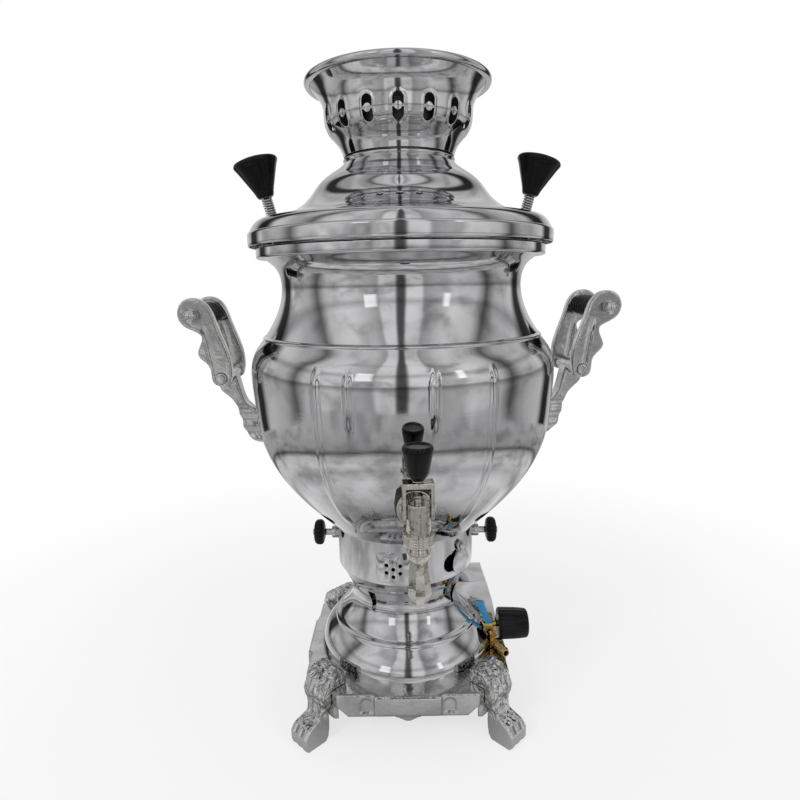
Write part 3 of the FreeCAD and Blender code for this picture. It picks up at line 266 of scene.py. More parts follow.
def mirrored(piece, name):
    """A copy on the other side of the YZ plane."""
    mesh = piece.data.copy()
    mesh.transform(Matrix.Scale(-1, 4, (1, 0, 0)))
    mesh.flip_normals()
    return placed(name, mesh)


def joined(name, *parts, sharp=SHARP):
    """Several meshes as one piece."""
    shape = bmesh.new()
    for part in parts:
        shape.from_mesh(part.data)
        bpy.data.objects.remove(part)
    mesh = bpy.data.meshes.new(name)
    shape.to_mesh(mesh)
    shape.free()
    return shaded(placed(name, mesh), sharp)


def settled(piece, name):
    """The evaluated piece as a plain mesh, with its modifiers applied."""
    graph = bpy.context.evaluated_depsgraph_get()
    mesh = bpy.data.meshes.new_from_object(piece.evaluated_get(graph))
    bpy.data.objects.remove(piece)
    mesh.name = name
    return placed(name, mesh)


def node_object(node):
    for piece in bpy.data.objects:
        if piece.get("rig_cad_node") == node:
            return piece
    raise KeyError(node)


def node_mesh(node):
    """A merged copy of a node's mesh, with flat areas made whole."""
    mesh = node_object(node).data.copy()
    shape = bmesh.new()
    shape.from_mesh(mesh)
    bmesh.ops.remove_doubles(shape, verts=shape.verts, dist=1e-6)
    shape.to_mesh(mesh)
    shape.free()
    return mesh


def cast_copy(node, voxel, rounds, relief=None):
    """A soft-edged casting from a node: remeshed, rounded off and given its relief."""
    name = node + "_cast"
    piece = placed(name, node_mesh(node))
    remesh = piece.modifiers.new("remesh", "REMESH")
    remesh.mode = "VOXEL"
    remesh.voxel_size = voxel * MM
    smooth = piece.modifiers.new("smooth", "SMOOTH")
    smooth.factor = 0.5
    smooth.iterations = rounds
    piece = settled(piece, name)
    if relief:
        normals = [Vector(n.vector) for n in piece.data.vertex_normals]
        moved = []
        for vertex, normal in zip(piece.data.vertices, normals):
            moved.extend(vertex.co + normal * relief(vertex.co / MM, normal) * MM)
        piece.data.vertices.foreach_set("co", moved)
        piece.data.update()
    return shaded(piece)


def eased_copy(node, width):
    """A machined piece from a node, with its sharp edges eased by a small bevel."""
    name = node + "_eased"
    mesh = node_mesh(node)
    shape = bmesh.new()
    shape.from_mesh(mesh)
    bmesh.ops.dissolve_limit(shape, angle_limit=math.radians(0.6), verts=shape.verts, edges=shape.edges)
    shape.to_mesh(mesh)
    shape.free()
    piece = placed(name, mesh)
    bevel = piece.modifiers.new("bevel", "BEVEL")
    bevel.width = width * MM
    bevel.segments = 2
    bevel.limit_method = "ANGLE"
    bevel.angle_limit = math.radians(EASED_SHARP)
    bevel.use_clamp_overlap = True
    return shaded(settled(piece, name), EASED_SHARP)


def cut_by(piece, cutters, name):
    """Cut holes with closed cutter meshes."""
    for cutter in cutters:
        step = piece.modifiers.new("cut", "BOOLEAN")
        step.operation = "DIFFERENCE"
        step.object = cutter
        step.solver = "EXACT"
    piece.name = name + "_uncut"
    whole = settled(piece, name)
    for cutter in cutters:
        bpy.data.objects.remove(cutter)
    return shaded(whole, SHARP)


class Recipe:
    """A geometry node tree with named inputs, built with one call per node."""

    def __init__(self, name, **inputs):
        self.tree = bpy.data.node_groups.new(name, "GeometryNodeTree")
        self.tree.interface.new_socket("Shape", in_out="OUTPUT", socket_type="NodeSocketGeometry")
        self.tree.interface.new_socket("Piece", in_out="INPUT", socket_type="NodeSocketGeometry")
        for key, kind in inputs.items():
            self.tree.interface.new_socket(key, in_out="INPUT", socket_type="NodeSocket" + kind)
        self.given = self.tree.nodes.new("NodeGroupInput")

    def node(self, kind, settings=None, inputs=None, output=0):
        made = self.tree.nodes.new(kind)
        for key, value in (settings or {}).items():
            setattr(made, key, value)
        for key, value in (inputs or {}).items():
            if isinstance(value, str):
                value = self.given.outputs[value]
            if isinstance(value, bpy.types.NodeSocket):
                self.tree.links.new(value, made.inputs[key])
            else:
                made.inputs[key].default_value = value
        return made.outputs[output] if len(made.outputs) else made

    def maths(self, operation, first, second):
        return self.node("ShaderNodeMath", {"operation": operation}, {0: first, 1: second})

    def finish(self, shape, finish):
        """End in plain geometry with its material."""
        whole = self.node("GeometryNodeRealizeInstances", None, {"Geometry": shape})
        coloured = self.node("GeometryNodeSetMaterial", None, {"Geometry": whole, "Material": finish})
        self.tree.links.new(coloured, self.tree.nodes.new("NodeGroupOutput").inputs[0])

    def run(self, piece, name, values):
        """Apply the recipe to a piece with these values."""
        step = piece.modifiers.new("recipe", "NODES")
        step.node_group = self.tree
        for socket in self.tree.interface.items_tree:
            if socket.in_out == "INPUT" and socket.name in values:
                step[socket.identifier] = values[socket.name]
        piece.name = name + "_start"
        return settled(piece, name)


def repeated(piece, name, count, finish):
    """Copies of a piece all the way round the Z axis, joined where they meet."""
    recipe = Recipe("all_round", Count="Int", Gap="Float")
    points = recipe.node("GeometryNodePoints", None, {"Count": "Count"})
    step = recipe.maths("DIVIDE", 2 * math.pi, "Count")
    turn = recipe.maths("MULTIPLY", recipe.node("GeometryNodeInputIndex"), step)
    around = recipe.node("ShaderNodeCombineXYZ", None, {"Z": turn})
    copies = recipe.node("GeometryNodeInstanceOnPoints", None,
                         {"Points": points, "Instance": "Piece", "Rotation": around})
    whole = recipe.node("GeometryNodeRealizeInstances", None, {"Geometry": copies})
    closed = recipe.node("GeometryNodeMergeByDistance", None, {"Geometry": whole, "Distance": "Gap"})
    recipe.finish(closed, finish)
    return shaded(recipe.run(piece, name, {"Count": count, "Gap": SEAM_GAP * MM}), SHARP)


def azimuth(degrees, radius, z):
    """A point at an azimuth counted from the front, positive to the right."""
    angle = math.radians(degrees)
    return Vector((radius * math.sin(angle), -radius * math.cos(angle), z))


def put(piece, body, finish, slot, *nodes, lining=None):
    """Give a piece its finish and its body, and hide the nodes it stands in for. A lining goes on the faces
    marked for it.
    """
    sides = [face.material_index for face in piece.data.polygons]
    piece.data.materials.clear()
    piece.data.materials.append(finish)
    if lining:
        piece.data.materials.append(lining)
        piece.data.polygons.foreach_set("material_index", sides)
    if nodes:
        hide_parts(*nodes)
    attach(piece, body)
    return piece


# Materials

class Wire:
    """A shader socket that understands arithmetic."""

    def __init__(self, finish, socket):
        self.finish, self.socket = finish, socket

    def _maths(self, operation, first, second):
        return self.finish.node("ShaderNodeMath", {"operation": operation}, {0: first, 1: second})

    def __add__(self, other):
        return self._maths("ADD", self, other)

    __radd__ = __add__

    def __mul__(self, other):
        return self._maths("MULTIPLY", self, other)

    __rmul__ = __mul__

    def __sub__(self, other):
        return self._maths("SUBTRACT", self, other)

    def __rsub__(self, other):
        return self._maths("SUBTRACT", other, self)


class Finish:
    """A node material that is built with one call per node."""

    def __init__(self, name, tree=None):
        if tree is None:
            self.material = bpy.data.materials.new(name)
            self.material.use_nodes = True
            tree = self.material.node_tree
        self.tree = tree
        self.tree.nodes.clear()

    def node(self, kind, settings=None, inputs=None, output=0):
        made = self.tree.nodes.new(kind)
        for key, value in (settings or {}).items():
            if key == "stops":
                self.set_stops(made.color_ramp, value)
            else:
                setattr(made, key, value)
        for key, value in (inputs or {}).items():
            self.feed(made.inputs[key], value)
        self.last = made
        return Wire(self, made.outputs[output]) if len(made.outputs) else made

    def feed(self, socket, value):
        if isinstance(value, Wire):
            self.tree.links.new(value.socket, socket)
        else:
            socket.default_value = value

    def set_stops(self, ramp, stops):
        while len(ramp.elements) < len(stops):
            ramp.elements.new(0.5)
        for element, (place, colour) in zip(ramp.elements, stops):
            element.position = place
            element.color = colour

    def place(self, scale=(1, 1, 1)):
        spot = self.node("ShaderNodeTexCoord", output=3)
        return self.node("ShaderNodeMapping", None, {"Vector": spot, "Scale": scale})

    def noise(self, scale, detail=3.0, rough=0.5, stretch=(1, 1, 1)):
        inputs = {"Vector": self.place(stretch), "Scale": scale, "Detail": detail, "Roughness": rough}
        return self.node("ShaderNodeTexNoise", {"noise_dimensions": "3D"}, inputs)

    def ramp(self, value, *stops):
        grey = [(place, (level, level, level, 1)) for place, level in stops]
        return self.node("ShaderNodeValToRGB", {"stops": grey}, {"Fac": value})

    def between(self, share, first, second):
        return self.node("ShaderNodeMix", {"data_type": "RGBA"}, {0: share, 6: first, 7: second}, output=2)

    def bump(self, height, strength, distance, under=None):
        inputs = {"Height": height, "Strength": strength, "Distance": distance}
        if under is not None:
            inputs["Normal"] = under
        return self.node("ShaderNodeBump", None, inputs)

    def surface(self, **values):
        names = {"base": "Base Color", "rough": "Roughness", "metal": "Metallic", "normal": "Normal",
                 "coat": "Coat Weight", "coat_rough": "Coat Roughness", "specular": "Specular IOR Level"}
        shader = self.node("ShaderNodeBsdfPrincipled", None, {names[k]: v for k, v in values.items()})
        self.node("ShaderNodeOutputMaterial", None, {"Surface": shader})
        return self.material


def plated_sheet():
    """Bright chrome on spun sheet: faint waves, fine smudges and polishing lines."""
    f = Finish("plated_sheet")
    waves = f.noise(16.0, 1.0, 0.4)
    lines = f.noise(90.0, 4.0, 0.6, (0.6, 0.6, 14.0))
    smudge = f.ramp(f.noise(24.0, 5.0, 0.6), (0.42, 0.0), (0.68, 1.0))
    colour = f.between(smudge, (0.60, 0.60, 0.61, 1), (0.53, 0.53, 0.545, 1))
    rough = smudge * 0.06 + lines * 0.04 + 0.02
    normal = f.bump(waves, 0.22, 0.004)
    normal = f.bump(lines, 0.05, 0.0002, normal)
    return f.surface(base=colour, rough=rough, metal=1.0, normal=normal)


def plated_casting():
    """Chrome over a cast surface: softer shine, small waves and dull hollows."""
    f = Finish("plated_casting")
    waves = f.noise(120.0, 2.0, 0.5)
    grain = f.noise(900.0, 3.0, 0.6)
    dull = f.ramp(f.noise(60.0, 4.0, 0.6), (0.4, 0.0), (0.7, 1.0))
    colour = f.between(dull, (0.60, 0.60, 0.595, 1), (0.45, 0.45, 0.445, 1))
    rough = dull * 0.14 + 0.10
    normal = f.bump(grain, 0.10, 0.0002, f.bump(waves, 0.35, 0.0012))
    return f.surface(base=colour, rough=rough, metal=1.0, normal=normal)


def plated_mane():
    """Chrome over cast curls of hair, which run out above the toes; painted shade darkens the hollows
    between the curls.
    """
    f = Finish("plated_mane")
    drift = f.node("ShaderNodeTexNoise", None, {"Vector": f.place(), "Scale": 70.0, "Detail": 2.0}, output=1)
    spot = f.node("ShaderNodeMix", {"data_type": "VECTOR"},
                  {0: 0.03, 4: f.place((1, 1, 0.55)), 5: drift}, output=1)
    curls = f.node("ShaderNodeTexVoronoi", {"feature": "SMOOTH_F1"},
                   {"Vector": spot, "Scale": 210.0, "Smoothness": 0.35})
    f.node("ShaderNodeSeparateXYZ", None, {0: f.place()})
    height = Wire(f, f.last.outputs[2])
    hair = f.node("ShaderNodeMapRange", {"interpolation_type": "SMOOTHSTEP"},
                  {"Value": height, "From Min": 0.016, "From Max": 0.028, "To Min": 0.08, "To Max": 1.0})
    # Painted shade: the hollows between the curls are darkened, and they are also made rougher
    hollow_shade = f.ramp(curls, (0.45, 0.0), (0.95, 1.0)) * hair
    colour = f.between(hollow_shade, (0.66, 0.66, 0.655, 1), (0.20, 0.20, 0.20, 1))
    rough = hollow_shade * 0.25 + 0.12
    normal = f.bump(hair * (1.0 - curls), 0.8, 0.0018, f.bump(f.noise(120.0, 2.0, 0.5), 0.3, 0.0012))
    return f.surface(base=colour, rough=rough, metal=1.0, normal=normal)


def plated_tap():
    """The tap's warmer plating, with soft pits and handling marks."""
    f = Finish("plated_tap")
    waves = f.noise(160.0, 2.0, 0.5)
    marks = f.ramp(f.noise(110.0, 5.0, 0.65), (0.38, 0.0), (0.72, 1.0))
    colour = f.between(marks, (0.62, 0.605, 0.555, 1), (0.52, 0.505, 0.45, 1))
    rough = marks * 0.06 + 0.05
    return f.surface(base=colour, rough=rough, metal=1.0, normal=f.bump(waves, 0.30, 0.0008))


def black_phenolic():
    """Glossy black moulding with faint flow marks and a little dust."""
    f = Finish("black_phenolic")
    flow = f.noise(70.0, 4.0, 0.6, (1, 1, 3))
    dust = f.ramp(f.noise(520.0, 4.0, 0.7), (0.62, 0.0), (0.86, 1.0))
    colour = f.between(dust, (0.003, 0.003, 0.0035, 1), (0.016, 0.016, 0.015, 1))
    rough = flow * 0.16 + dust * 0.20 + 0.10
    normal = f.bump(flow, 0.10, 0.0006)
    return f.surface(base=colour, rough=rough, metal=0.0, normal=normal, coat=0.08, coat_rough=0.08,
                     specular=0.18)


def turned_brass():
    f = Finish("turned_brass")
    tarnish = f.ramp(f.noise(180.0, 5.0, 0.6), (0.35, 0.0), (0.75, 1.0))
    colour = f.between(tarnish, (0.80, 0.58, 0.22, 1), (0.45, 0.30, 0.10, 1))
    rings = f.noise(700.0, 2.0, 0.5, (6, 1, 1))
    return f.surface(base=colour, rough=tarnish * 0.22 + 0.16, metal=1.0, normal=f.bump(rings, 0.15, 0.0002))


def dark_rubber():
    f = Finish("dark_rubber")
    grain = f.noise(800.0, 4.0, 0.6)
    bloom = f.ramp(f.noise(120.0, 3.0, 0.5), (0.4, 0.0), (0.8, 1.0))
    colour = f.between(bloom, (0.012, 0.012, 0.012, 1), (0.045, 0.045, 0.043, 1))
    return f.surface(base=colour, rough=bloom * 0.15 + 0.55, metal=0.0, normal=f.bump(grain, 0.3, 0.0002))


def blue_plastic():
    f = Finish("blue_plastic")
    fade = f.ramp(f.noise(90.0, 4.0, 0.6), (0.3, 0.0), (0.75, 1.0))
    colour = f.between(fade, (0.02, 0.20, 0.42, 1), (0.05, 0.32, 0.58, 1))
    return f.surface(base=colour, rough=fade * 0.2 + 0.32, metal=0.0,
                     normal=f.bump(f.noise(500.0), 0.15, 0.0002))


def burnt_iron():
    f = Finish("burnt_iron")
    scale = f.noise(240.0, 6.0, 0.65)
    heat = f.ramp(f.noise(45.0, 4.0, 0.6), (0.35, 0.0), (0.7, 1.0))
    colour = f.between(heat, (0.05, 0.05, 0.052, 1), (0.16, 0.11, 0.08, 1))
    return f.surface(base=colour, rough=scale * 0.3 + 0.42, metal=0.75, normal=f.bump(scale, 0.5, 0.0006))


def sooted_sheet():
    """The inside of the crown, dulled and stained by the hot gas."""
    f = Finish("sooted_sheet")
    cloud = f.ramp(f.noise(50.0, 5.0, 0.6), (0.35, 0.0), (0.7, 1.0))
    grain = f.noise(420.0, 4.0, 0.6)
    colour = f.between(cloud, (0.030, 0.030, 0.031, 1), (0.075, 0.070, 0.065, 1))
    return f.surface(base=colour, rough=cloud * 0.2 + 0.38, metal=0.6, normal=f.bump(grain, 0.3, 0.0003))


def zinc_steel():
    f = Finish("zinc_steel")
    grain = f.noise(320.0, 5.0, 0.6, (1, 1, 5))
    dull = f.ramp(grain, (0.35, 0.0), (0.75, 1.0))
    colour = f.between(dull, (0.62, 0.62, 0.62, 1), (0.44, 0.44, 0.45, 1))
    return f.surface(base=colour, rough=dull * 0.15 + 0.12, metal=1.0, normal=f.bump(grain, 0.2, 0.0003))


SHEET_METAL = plated_sheet()
CASTING = plated_casting()
MANE = plated_mane()
TAP_METAL = plated_tap()
PHENOLIC = black_phenolic()
BRASS = turned_brass()
RUBBER = dark_rubber()
BLUE = blue_plastic()
IRON = burnt_iron()
STEEL = zinc_steel()
SOOTED = sooted_sheet()

FINISH_OF_SLOT = {
    "polished_sheet": SHEET_METAL,
    "cast_plated": CASTING,
    "tap_plated": TAP_METAL,
    "black_phenolic": PHENOLIC,
    "plain_brass": BRASS,
    "dark_rubber": RUBBER,
    "blue_tag": BLUE,
    "burner_iron": IRON,
    "steel_fixing": STEEL,
}


def dress_nodes():
    """Every node that stays gets its slot's finish."""
    slots = {row["node"]: row["material_slot"] for row in frame["record"]["subparts"]}
    for node, slot in slots.items():
        piece = node_object(node)
        piece.data.materials.clear()
        piece.data.materials.append(FINISH_OF_SLOT[slot])


# Urn

URN_LINE = [(r, URN_LOW + h) for r, h in (
    (64.7, 0.0), (76.0, 11.0), (98.3, 35.0), (114.4, 59.0), (123.7, 83.0), (128.0, 119.0), (125.0, 155.0),
    (119.5, 163.0), (113.7, 171.0), (106.7, 183.0), (100.3, 208.0), (104.3, 223.0), (113.0, 230.4))]
WAIST_Z = URN_LOW + 167.2
WAIST_RISE = 1.1
WAIST_HALF = 1.6
RIB_RISE = 2.2
RIB_HALF = 3.8
RIB_TOP = 317.0
LONG_RIBS = (-31.7, 26.0, 148.3, 206.0)
SHORT_RIBS = (-20.7, 6.5, 159.3, 186.5)
LONG_RIB_LOW = 187.0
SHORT_RIB_LOW = 272.0


def ridge(distance, half):
    """A rounded ridge, 1 at its crest and 0 beyond its half width."""
    share = min(abs(distance) / half, 1.0)
    return (1 - share * share) ** 1.5


def rib_height(degrees, z, radius):
    """How far the ribs raise the urn's side at an azimuth and height."""
    height = 0.0
    for places, low, fade in ((LONG_RIBS, LONG_RIB_LOW, 16.0), (SHORT_RIBS, SHORT_RIB_LOW, 22.0)):
        for place in places:
            off = (degrees - place + 180) % 360 - 180
            if abs(off) > 8:
                continue
            across = math.radians(off) * radius
            over = max(z - (RIB_TOP - RIB_HALF), 0.0)
            reach = math.hypot(across, over)
            grow = min(max((z - low) / fade, 0.0), 1.0)
            grow = grow * grow * (3 - 2 * grow)
            height = max(height, RIB_RISE * grow * ridge(reach, RIB_HALF))
    return height


def rib_columns():
    """Azimuths for the urn's mesh, close together over the ribs."""
    columns = []
    degrees = -180.0
    places = [((p + 180) % 360) - 180 for p in LONG_RIBS + SHORT_RIBS]
    while degrees < 180.0 - 1e-6:
        columns.append(degrees)
        near = min(min(abs(degrees - p), 360 - abs(degrees - p)) for p in places)
        degrees += 0.3 if near < 2.6 else 1.2
    return columns


def urn_piece():
    line = through(URN_LINE, 10)
    line = [(r + WAIST_RISE * ridge(z - WAIST_Z, WAIST_HALF), z) for r, z in densely(line)]
    outline = walled(line, keep=6)
    columns = rib_columns()
    vertices, faces = [], []
    outer = len(line)
    for degrees in columns:
        for i, (r, z) in enumerate(outline):
            rise = rib_height(degrees, z, r) if i < outer else 0.0
            vertices.append(azimuth(degrees, r + rise, z))
    rows = len(outline)
    for k in range(len(columns)):
        for i in range(rows):
            a, b = k * rows, ((k + 1) % len(columns)) * rows
            j = (i + 1) % rows
            faces.append((a + i, b + i, b + j, a + j))
    return turned(new_piece("urn_body", vertices, faces))


def densely(line):
    """More points round the waist bead."""
    dense = []
    for (r0, z0), (r1, z1) in zip(line, line[1:]):
        parts = 6 if min(abs(z0 - WAIST_Z), abs(z1 - WAIST_Z)) < 3.0 else 1
        for k in range(parts):
            t = k / parts
            dense.append((r0 + (r1 - r0) * t, z0 + (z1 - z0) * t))
    dense.append(line[-1])
    return dense


def mouth_ring_piece():
    low, high = SHELL_TOP, RING_TOP
    inner, outer, roll = 108.5, 119.5, 1.2
    outline = [(inner, low), (outer - 0.8, low), (outer, low + roll), (outer, high - roll),
               (outer - 0.8, high), (inner, high)]
    return lathed("rolled_mouth", softened(outline, 1.4), 256)


# Lid and crown

LID_LINE = [(r, LID_LOW + h) for r, h in (
    (124.0, 11.0), (118.5, 19.0), (103.0, 22.7), (89.5, 27.0), (74.2, 39.0), (66.5, 49.0), (55.0, 58.0),
    (47.5, 63.5), (43.5, 70.0), (43.5, 76.0))]
LID_BEAD_Z = LID_LOW + 68.5

CROWN_LINE = [(r, CROWN_LOW + h) for r, h in (
    (45.2, 0.0), (48.4, 8.0), (54.8, 16.0), (59.0, 24.0), (59.8, 32.0), (63.2, 44.0), (70.2, 52.5))]
CROWN_HOLES = 16
HOLE_MIDDLE = CROWN_LOW + 25.0
HOLE_HALF = 4.2
HOLE_REACH = 4.8
LAND_HALF = 2.9
BAR_HALF = 0.9
RIM_R = 72.2
RIM_BEAD = 2.8
COLLAR_WALL = 0.8


def lid_piece():
    line = [(r + 1.9 * ridge(z - LID_BEAD_Z, 2.0), z) for r, z in through(LID_LINE, 14)]
    return lathed("lid_dome", walled(line), 256)


def lid_band_piece():
    low, high = LID_LOW, LID_LOW + 11.0
    outline = [(106.3, low - 8), (107.5, low - 8), (107.5, high - 2.4), (124.3, high - 2.4), (124.3, low),
               (125.1, low), (125.5, low + 1.5), (125.5, high - 1.5), (124.5, high), (106.3, high)]
    return lathed("lid_band_rolled", softened(outline, 1.0), 256)


def hole_cutter(name, above):
    """A crescent: half of a tall round-ended slot, less the round land and the bar in its middle."""
    sign = 1 if above else -1
    start = math.asin(BAR_HALF / LAND_HALF)
    corners = [(HOLE_HALF, BAR_HALF)]
    corners += [(HOLE_HALF * math.cos(math.pi * k / 14), HOLE_REACH + HOLE_HALF * math.sin(math.pi * k / 14))
                for k in range(15)]
    corners.append((-HOLE_HALF, BAR_HALF))
    steps = 9
    for k in range(steps + 1):
        angle = math.pi - start - (math.pi - 2 * start) * k / steps
        corners.append((LAND_HALF * math.cos(angle), LAND_HALF * math.sin(angle)))
    rings = []
    for reach in (46.0, 80.0):
        rings.append([Vector((u, -reach, HOLE_MIDDLE + sign * v)) for u, v in corners])
    count = len(corners)
    faces = [tuple(range(count)), tuple(range(2 * count - 1, count - 1, -1))]
    faces += [(i, count + i, count + (i + 1) % count, (i + 1) % count) for i in range(count)]
    return new_piece(name, rings[0] + rings[1], faces)


def pressed(degrees, radius, z):
    """The crown's sheet is pressed out in a soft lip round each pair of holes."""
    off = math.radians(degrees) * radius
    up = z - HOLE_MIDDLE
    over = max(abs(up) - HOLE_REACH, 0.0)
    edge = math.hypot(off, over) - HOLE_HALF
    land = math.hypot(off, up)
    return radius + 0.45 * max(ridge(edge - 0.5, 1.5), ridge(land, LAND_HALF + 0.4) * 0.8)


def crown_sector():
    """One sixteenth of the crown, round its pair of holes."""
    outline = walled(through(CROWN_LINE, 9), keep=2)
    columns = 28
    pitch = 360 / CROWN_HOLES
    vertices, faces = [], []
    for k in range(columns + 1):
        degrees = pitch * (k / columns - 0.5)
        vertices += [azimuth(degrees, pressed(degrees, r, z), z) for r, z in outline]
    rows = len(outline)
    for k in range(columns):
        for i in range(rows):
            j = (i + 1) % rows
            faces.append((k * rows + i, (k + 1) * rows + i, (k + 1) * rows + j, k * rows + j))
    ends = [tuple(range(rows)), tuple(columns * rows + i for i in reversed(range(rows)))]
    sector = new_piece("crown_sector", vertices, faces + ends)
    return cut_by(sector, [hole_cutter("upper", True), hole_cutter("lower", False)], "crown_part")


def crown_piece():
    """The pierced crown, its sector repeated all the way round."""
    sector = crown_sector()
    shape = bmesh.new()
    shape.from_mesh(sector.data)
    pitch = math.radians(180 / CROWN_HOLES)
    sides = []
    for face in shape.faces:
        middle = face.calc_center_median()
        turn = math.atan2(middle.x, -middle.y)
        if abs(abs(turn) - pitch) < 1e-5 and abs(face.normal.z) < 0.01:
            sides.append(face)
    bmesh.ops.delete(shape, geom=sides, context="FACES_ONLY")
    shape.to_mesh(sector.data)
    shape.free()
    crown = repeated(sector, "crown_pierced", CROWN_HOLES, SHEET_METAL)
    for face in crown.data.polygons:
        out = Vector((face.center.x, face.center.y, 0)).normalized()
        inside = face.normal.dot(out) < -0.05 and face.center.z / MM < CROWN_LOW + 50
        face.material_index = 1 if inside else 0
    return crown


def crown_collar_piece():
    """The sooted collar behind the holes, which leads the hot gas up to the pot."""
    line = [(r, CROWN_LOW + h) for r, h in ((47.6, 8.5), (50.5, 16.0), (52.0, 28.0), (52.5, 42.0))]
    return lathed("crown_collar", walled(through(line, 6), COLLAR_WALL), 128)


def crown_rim_piece():
    z = CROWN_LOW + CROWN_HEIGHT
    outline = [(RIM_R + RIM_BEAD * across, z + RIM_BEAD * up) for across, up in circle(20)]
    return lathed("crown_rolled_rim", outline, 256)


# Knobs and springs

LID_KNOB_AT = 105.0
LID_KNOB_LEAN = 15.0
COIL_SEAT = 3.9
COIL_HIGH = 14.0
COIL_R = 3.9
COIL_TURNS = 7.0
WIRE_R = 0.7
KNOB_GAP = 0.1


def lid_height(radius):
    line = through(LID_LINE, 14)
    return next(z0 + (z1 - z0) * (r0 - radius) / (r0 - r1)
                for (r0, z0), (r1, z1) in zip(line, line[1:]) if r1 <= radius <= r0)


def knob_axis(side):
    lean = math.radians(LID_KNOB_LEAN)
    return (Vector((side * LID_KNOB_AT, 0, lid_height(LID_KNOB_AT))),
            Vector((side * math.sin(lean), 0, math.cos(lean))))


def lid_knob_piece(side, name):
    base, axis = knob_axis(side)
    low = COIL_SEAT + COIL_HIGH + WIRE_R + KNOB_GAP
    rise, top = 30.0, 18.5
    outline = [(2.5, 0), (6.0, 0), (7.0, 1.5), (8.2, 5.5), (top - 2.2, rise - 6.5), (top, rise - 2.6),
               (top - 0.9, rise - 0.2), (top * 0.6, rise + 1.7), (0.01, rise + 2.5)]
    outline = softened(outline, 2.2, 5, closed=False) + [(0.01, 12.0), (2.5, 12.0)]
    return turned(lathed(name, outline, 96, base + axis * low, axis, sharp=50))


def spring_piece(side, name):
    """The coil on the stud: one wire wound seven times."""
    recipe = Recipe("wound_wire", Turns="Float", Height="Float", Radius="Float", Wire="Float")
    line = recipe.node("GeometryNodeCurveSpiral", None,
                       {"Resolution": 28, "Rotations": "Turns", "Start Radius": "Radius",
                        "End Radius": "Radius", "Height": "Height"})
    section = recipe.node("GeometryNodeCurvePrimitiveCircle", None, {"Resolution": 10, "Radius": "Wire"})
    wound = recipe.node("GeometryNodeCurveToMesh", None,
                        {"Curve": line, "Profile Curve": section, "Fill Caps": True})
    recipe.finish(wound, STEEL)
    sizes = {"Turns": COIL_TURNS, "Height": COIL_HIGH * MM, "Radius": COIL_R * MM, "Wire": WIRE_R * MM}
    coil = recipe.run(placed(name, bpy.data.meshes.new(name)), name, sizes)
    base, axis = knob_axis(side)
    across, other, along = frame_of(axis)
    place = Matrix((across, other, along)).transposed().to_4x4()
    place.translation = (base + axis * COIL_SEAT) * MM
    coil.data.transform(place)
    return turned(shaded(coil))


TAP_KNOB_UP = 29.0
NOZZLE_TOP = TAP_AXIS - 13.0
NOZZLE_LONG = 44.0
NOZZLE_BORE = 4.8


def tap_knob_piece():
    low = TAP_AXIS + TAP_KNOB_UP
    outline = [(3.0, 0), (3.8, 0), (7.4, 5), (10.4, 20.5), (10.5, 22.5), (9.7, 24), (8.4, 24), (7.6, 22.8),
               (0.01, 22.8)]
    outline = softened(outline, 1.3, 5, closed=False) + [(0.01, 8.0), (3.0, 8.0)]
    return turned(lathed("tap_handle_knob", outline, 96, (0, TAP_Y, low), sharp=50))


def nozzle_piece():
    """A round bulb, then eight flat sides that flare and close in at the mouth."""
    top, bore = NOZZLE_TOP, NOZZLE_BORE
    low = top - NOZZLE_LONG
    bulb = [(bore, top), (7.4, top), (7.4, top - 3.5), (8.3, top - 6.5), (8.5, top - 9.0), (7.6, top - 12.5),
            (6.3, top - 14.5), (bore, top - 14.5)]
    spout = [(bore, top - 14.0), (6.1, top - 14.0), (8.7, low + 7.0), (6.3, low), (bore, low)]
    round_part = lathed("spout_bulb", softened(bulb, 1.2), 72, (0, TAP_Y, 0))
    flat_part = lathed("spout_sides", softened(spout, 0.35, 2), 8, (0, TAP_Y, 0), sharp=20)
    whole = joined("tap_spout", round_part, flat_part, sharp=24)
    axis = Matrix.Translation((0, TAP_Y * MM, 0))
    # A flat side faces the viewer
    half_side = math.radians(180 / 8)
    whole.data.transform(axis @ Matrix.Rotation(half_side, 4, "Z") @ axis.inverted())
    return turned(whole)


THUMB_Z = HOUSING_LOW + 23.5
THUMB_KNOB_X = 74.1


def thumb_knob_piece(name):
    flutes, depth = 18, 0.9

    def fluted(angle, radius, height):
        if radius < 8.5 or not 0.8 < height < 9.4:
            return radius
        crest = 0.5 - 0.5 * math.cos(flutes * angle)
        return radius - depth * (1 - crest) ** 3

    outline = [(2.25, 0), (5.5, 0), (10.0, 1.3), (11.5, 3.0), (11.5, 7.0), (9.8, 9.2), (5.0, 10), (2.25, 10)]
    outline = softened(outline, 1.6, 5)
    return lathed(name, outline, 216, (THUMB_KNOB_X, 0, THUMB_Z), (1, 0, 0), swell=fluted, sharp=60)


def valve_knob_piece():
    flutes, depth = 24, 0.18

    def fluted(angle, radius, height):
        if radius < 11.5 or not 1.0 < height < 25.5:
            return radius
        return radius - depth * (1 + math.cos(flutes * angle))

    outline = [(3.0, 0), (13.4, 0), (14.5, 1.2), (14.1, 14.0), (13.7, 20.0), (13.0, 26.0), (11.4, 27.5),
               (0.01, 27.5)]
    outline = softened(outline, 1.3, 5, closed=False) + [(0.01, 14.0), (3.0, 14.0)]
    base = (VALVE_KNOB_X, VALVE_Y, VALVE_Z)
    return lathed("gas_control_knob", outline, 144, base, (1, 0, 0), swell=fluted, sharp=55)


# Pedestal

BELL_LINE = [(r, BASE_TOP + h) for r, h in (
    (80.0, 0.0), (79.2, 8.0), (72.0, 21.0), (62.0, 31.0), (54.8, 40.0), (49.4, 56.0), (55.0, 71.0),
    (60.0, 82.0))]
BELL_STEP_Z = BASE_TOP + 29.0
AIR_SLOTS = (55, 145, 235, 325)


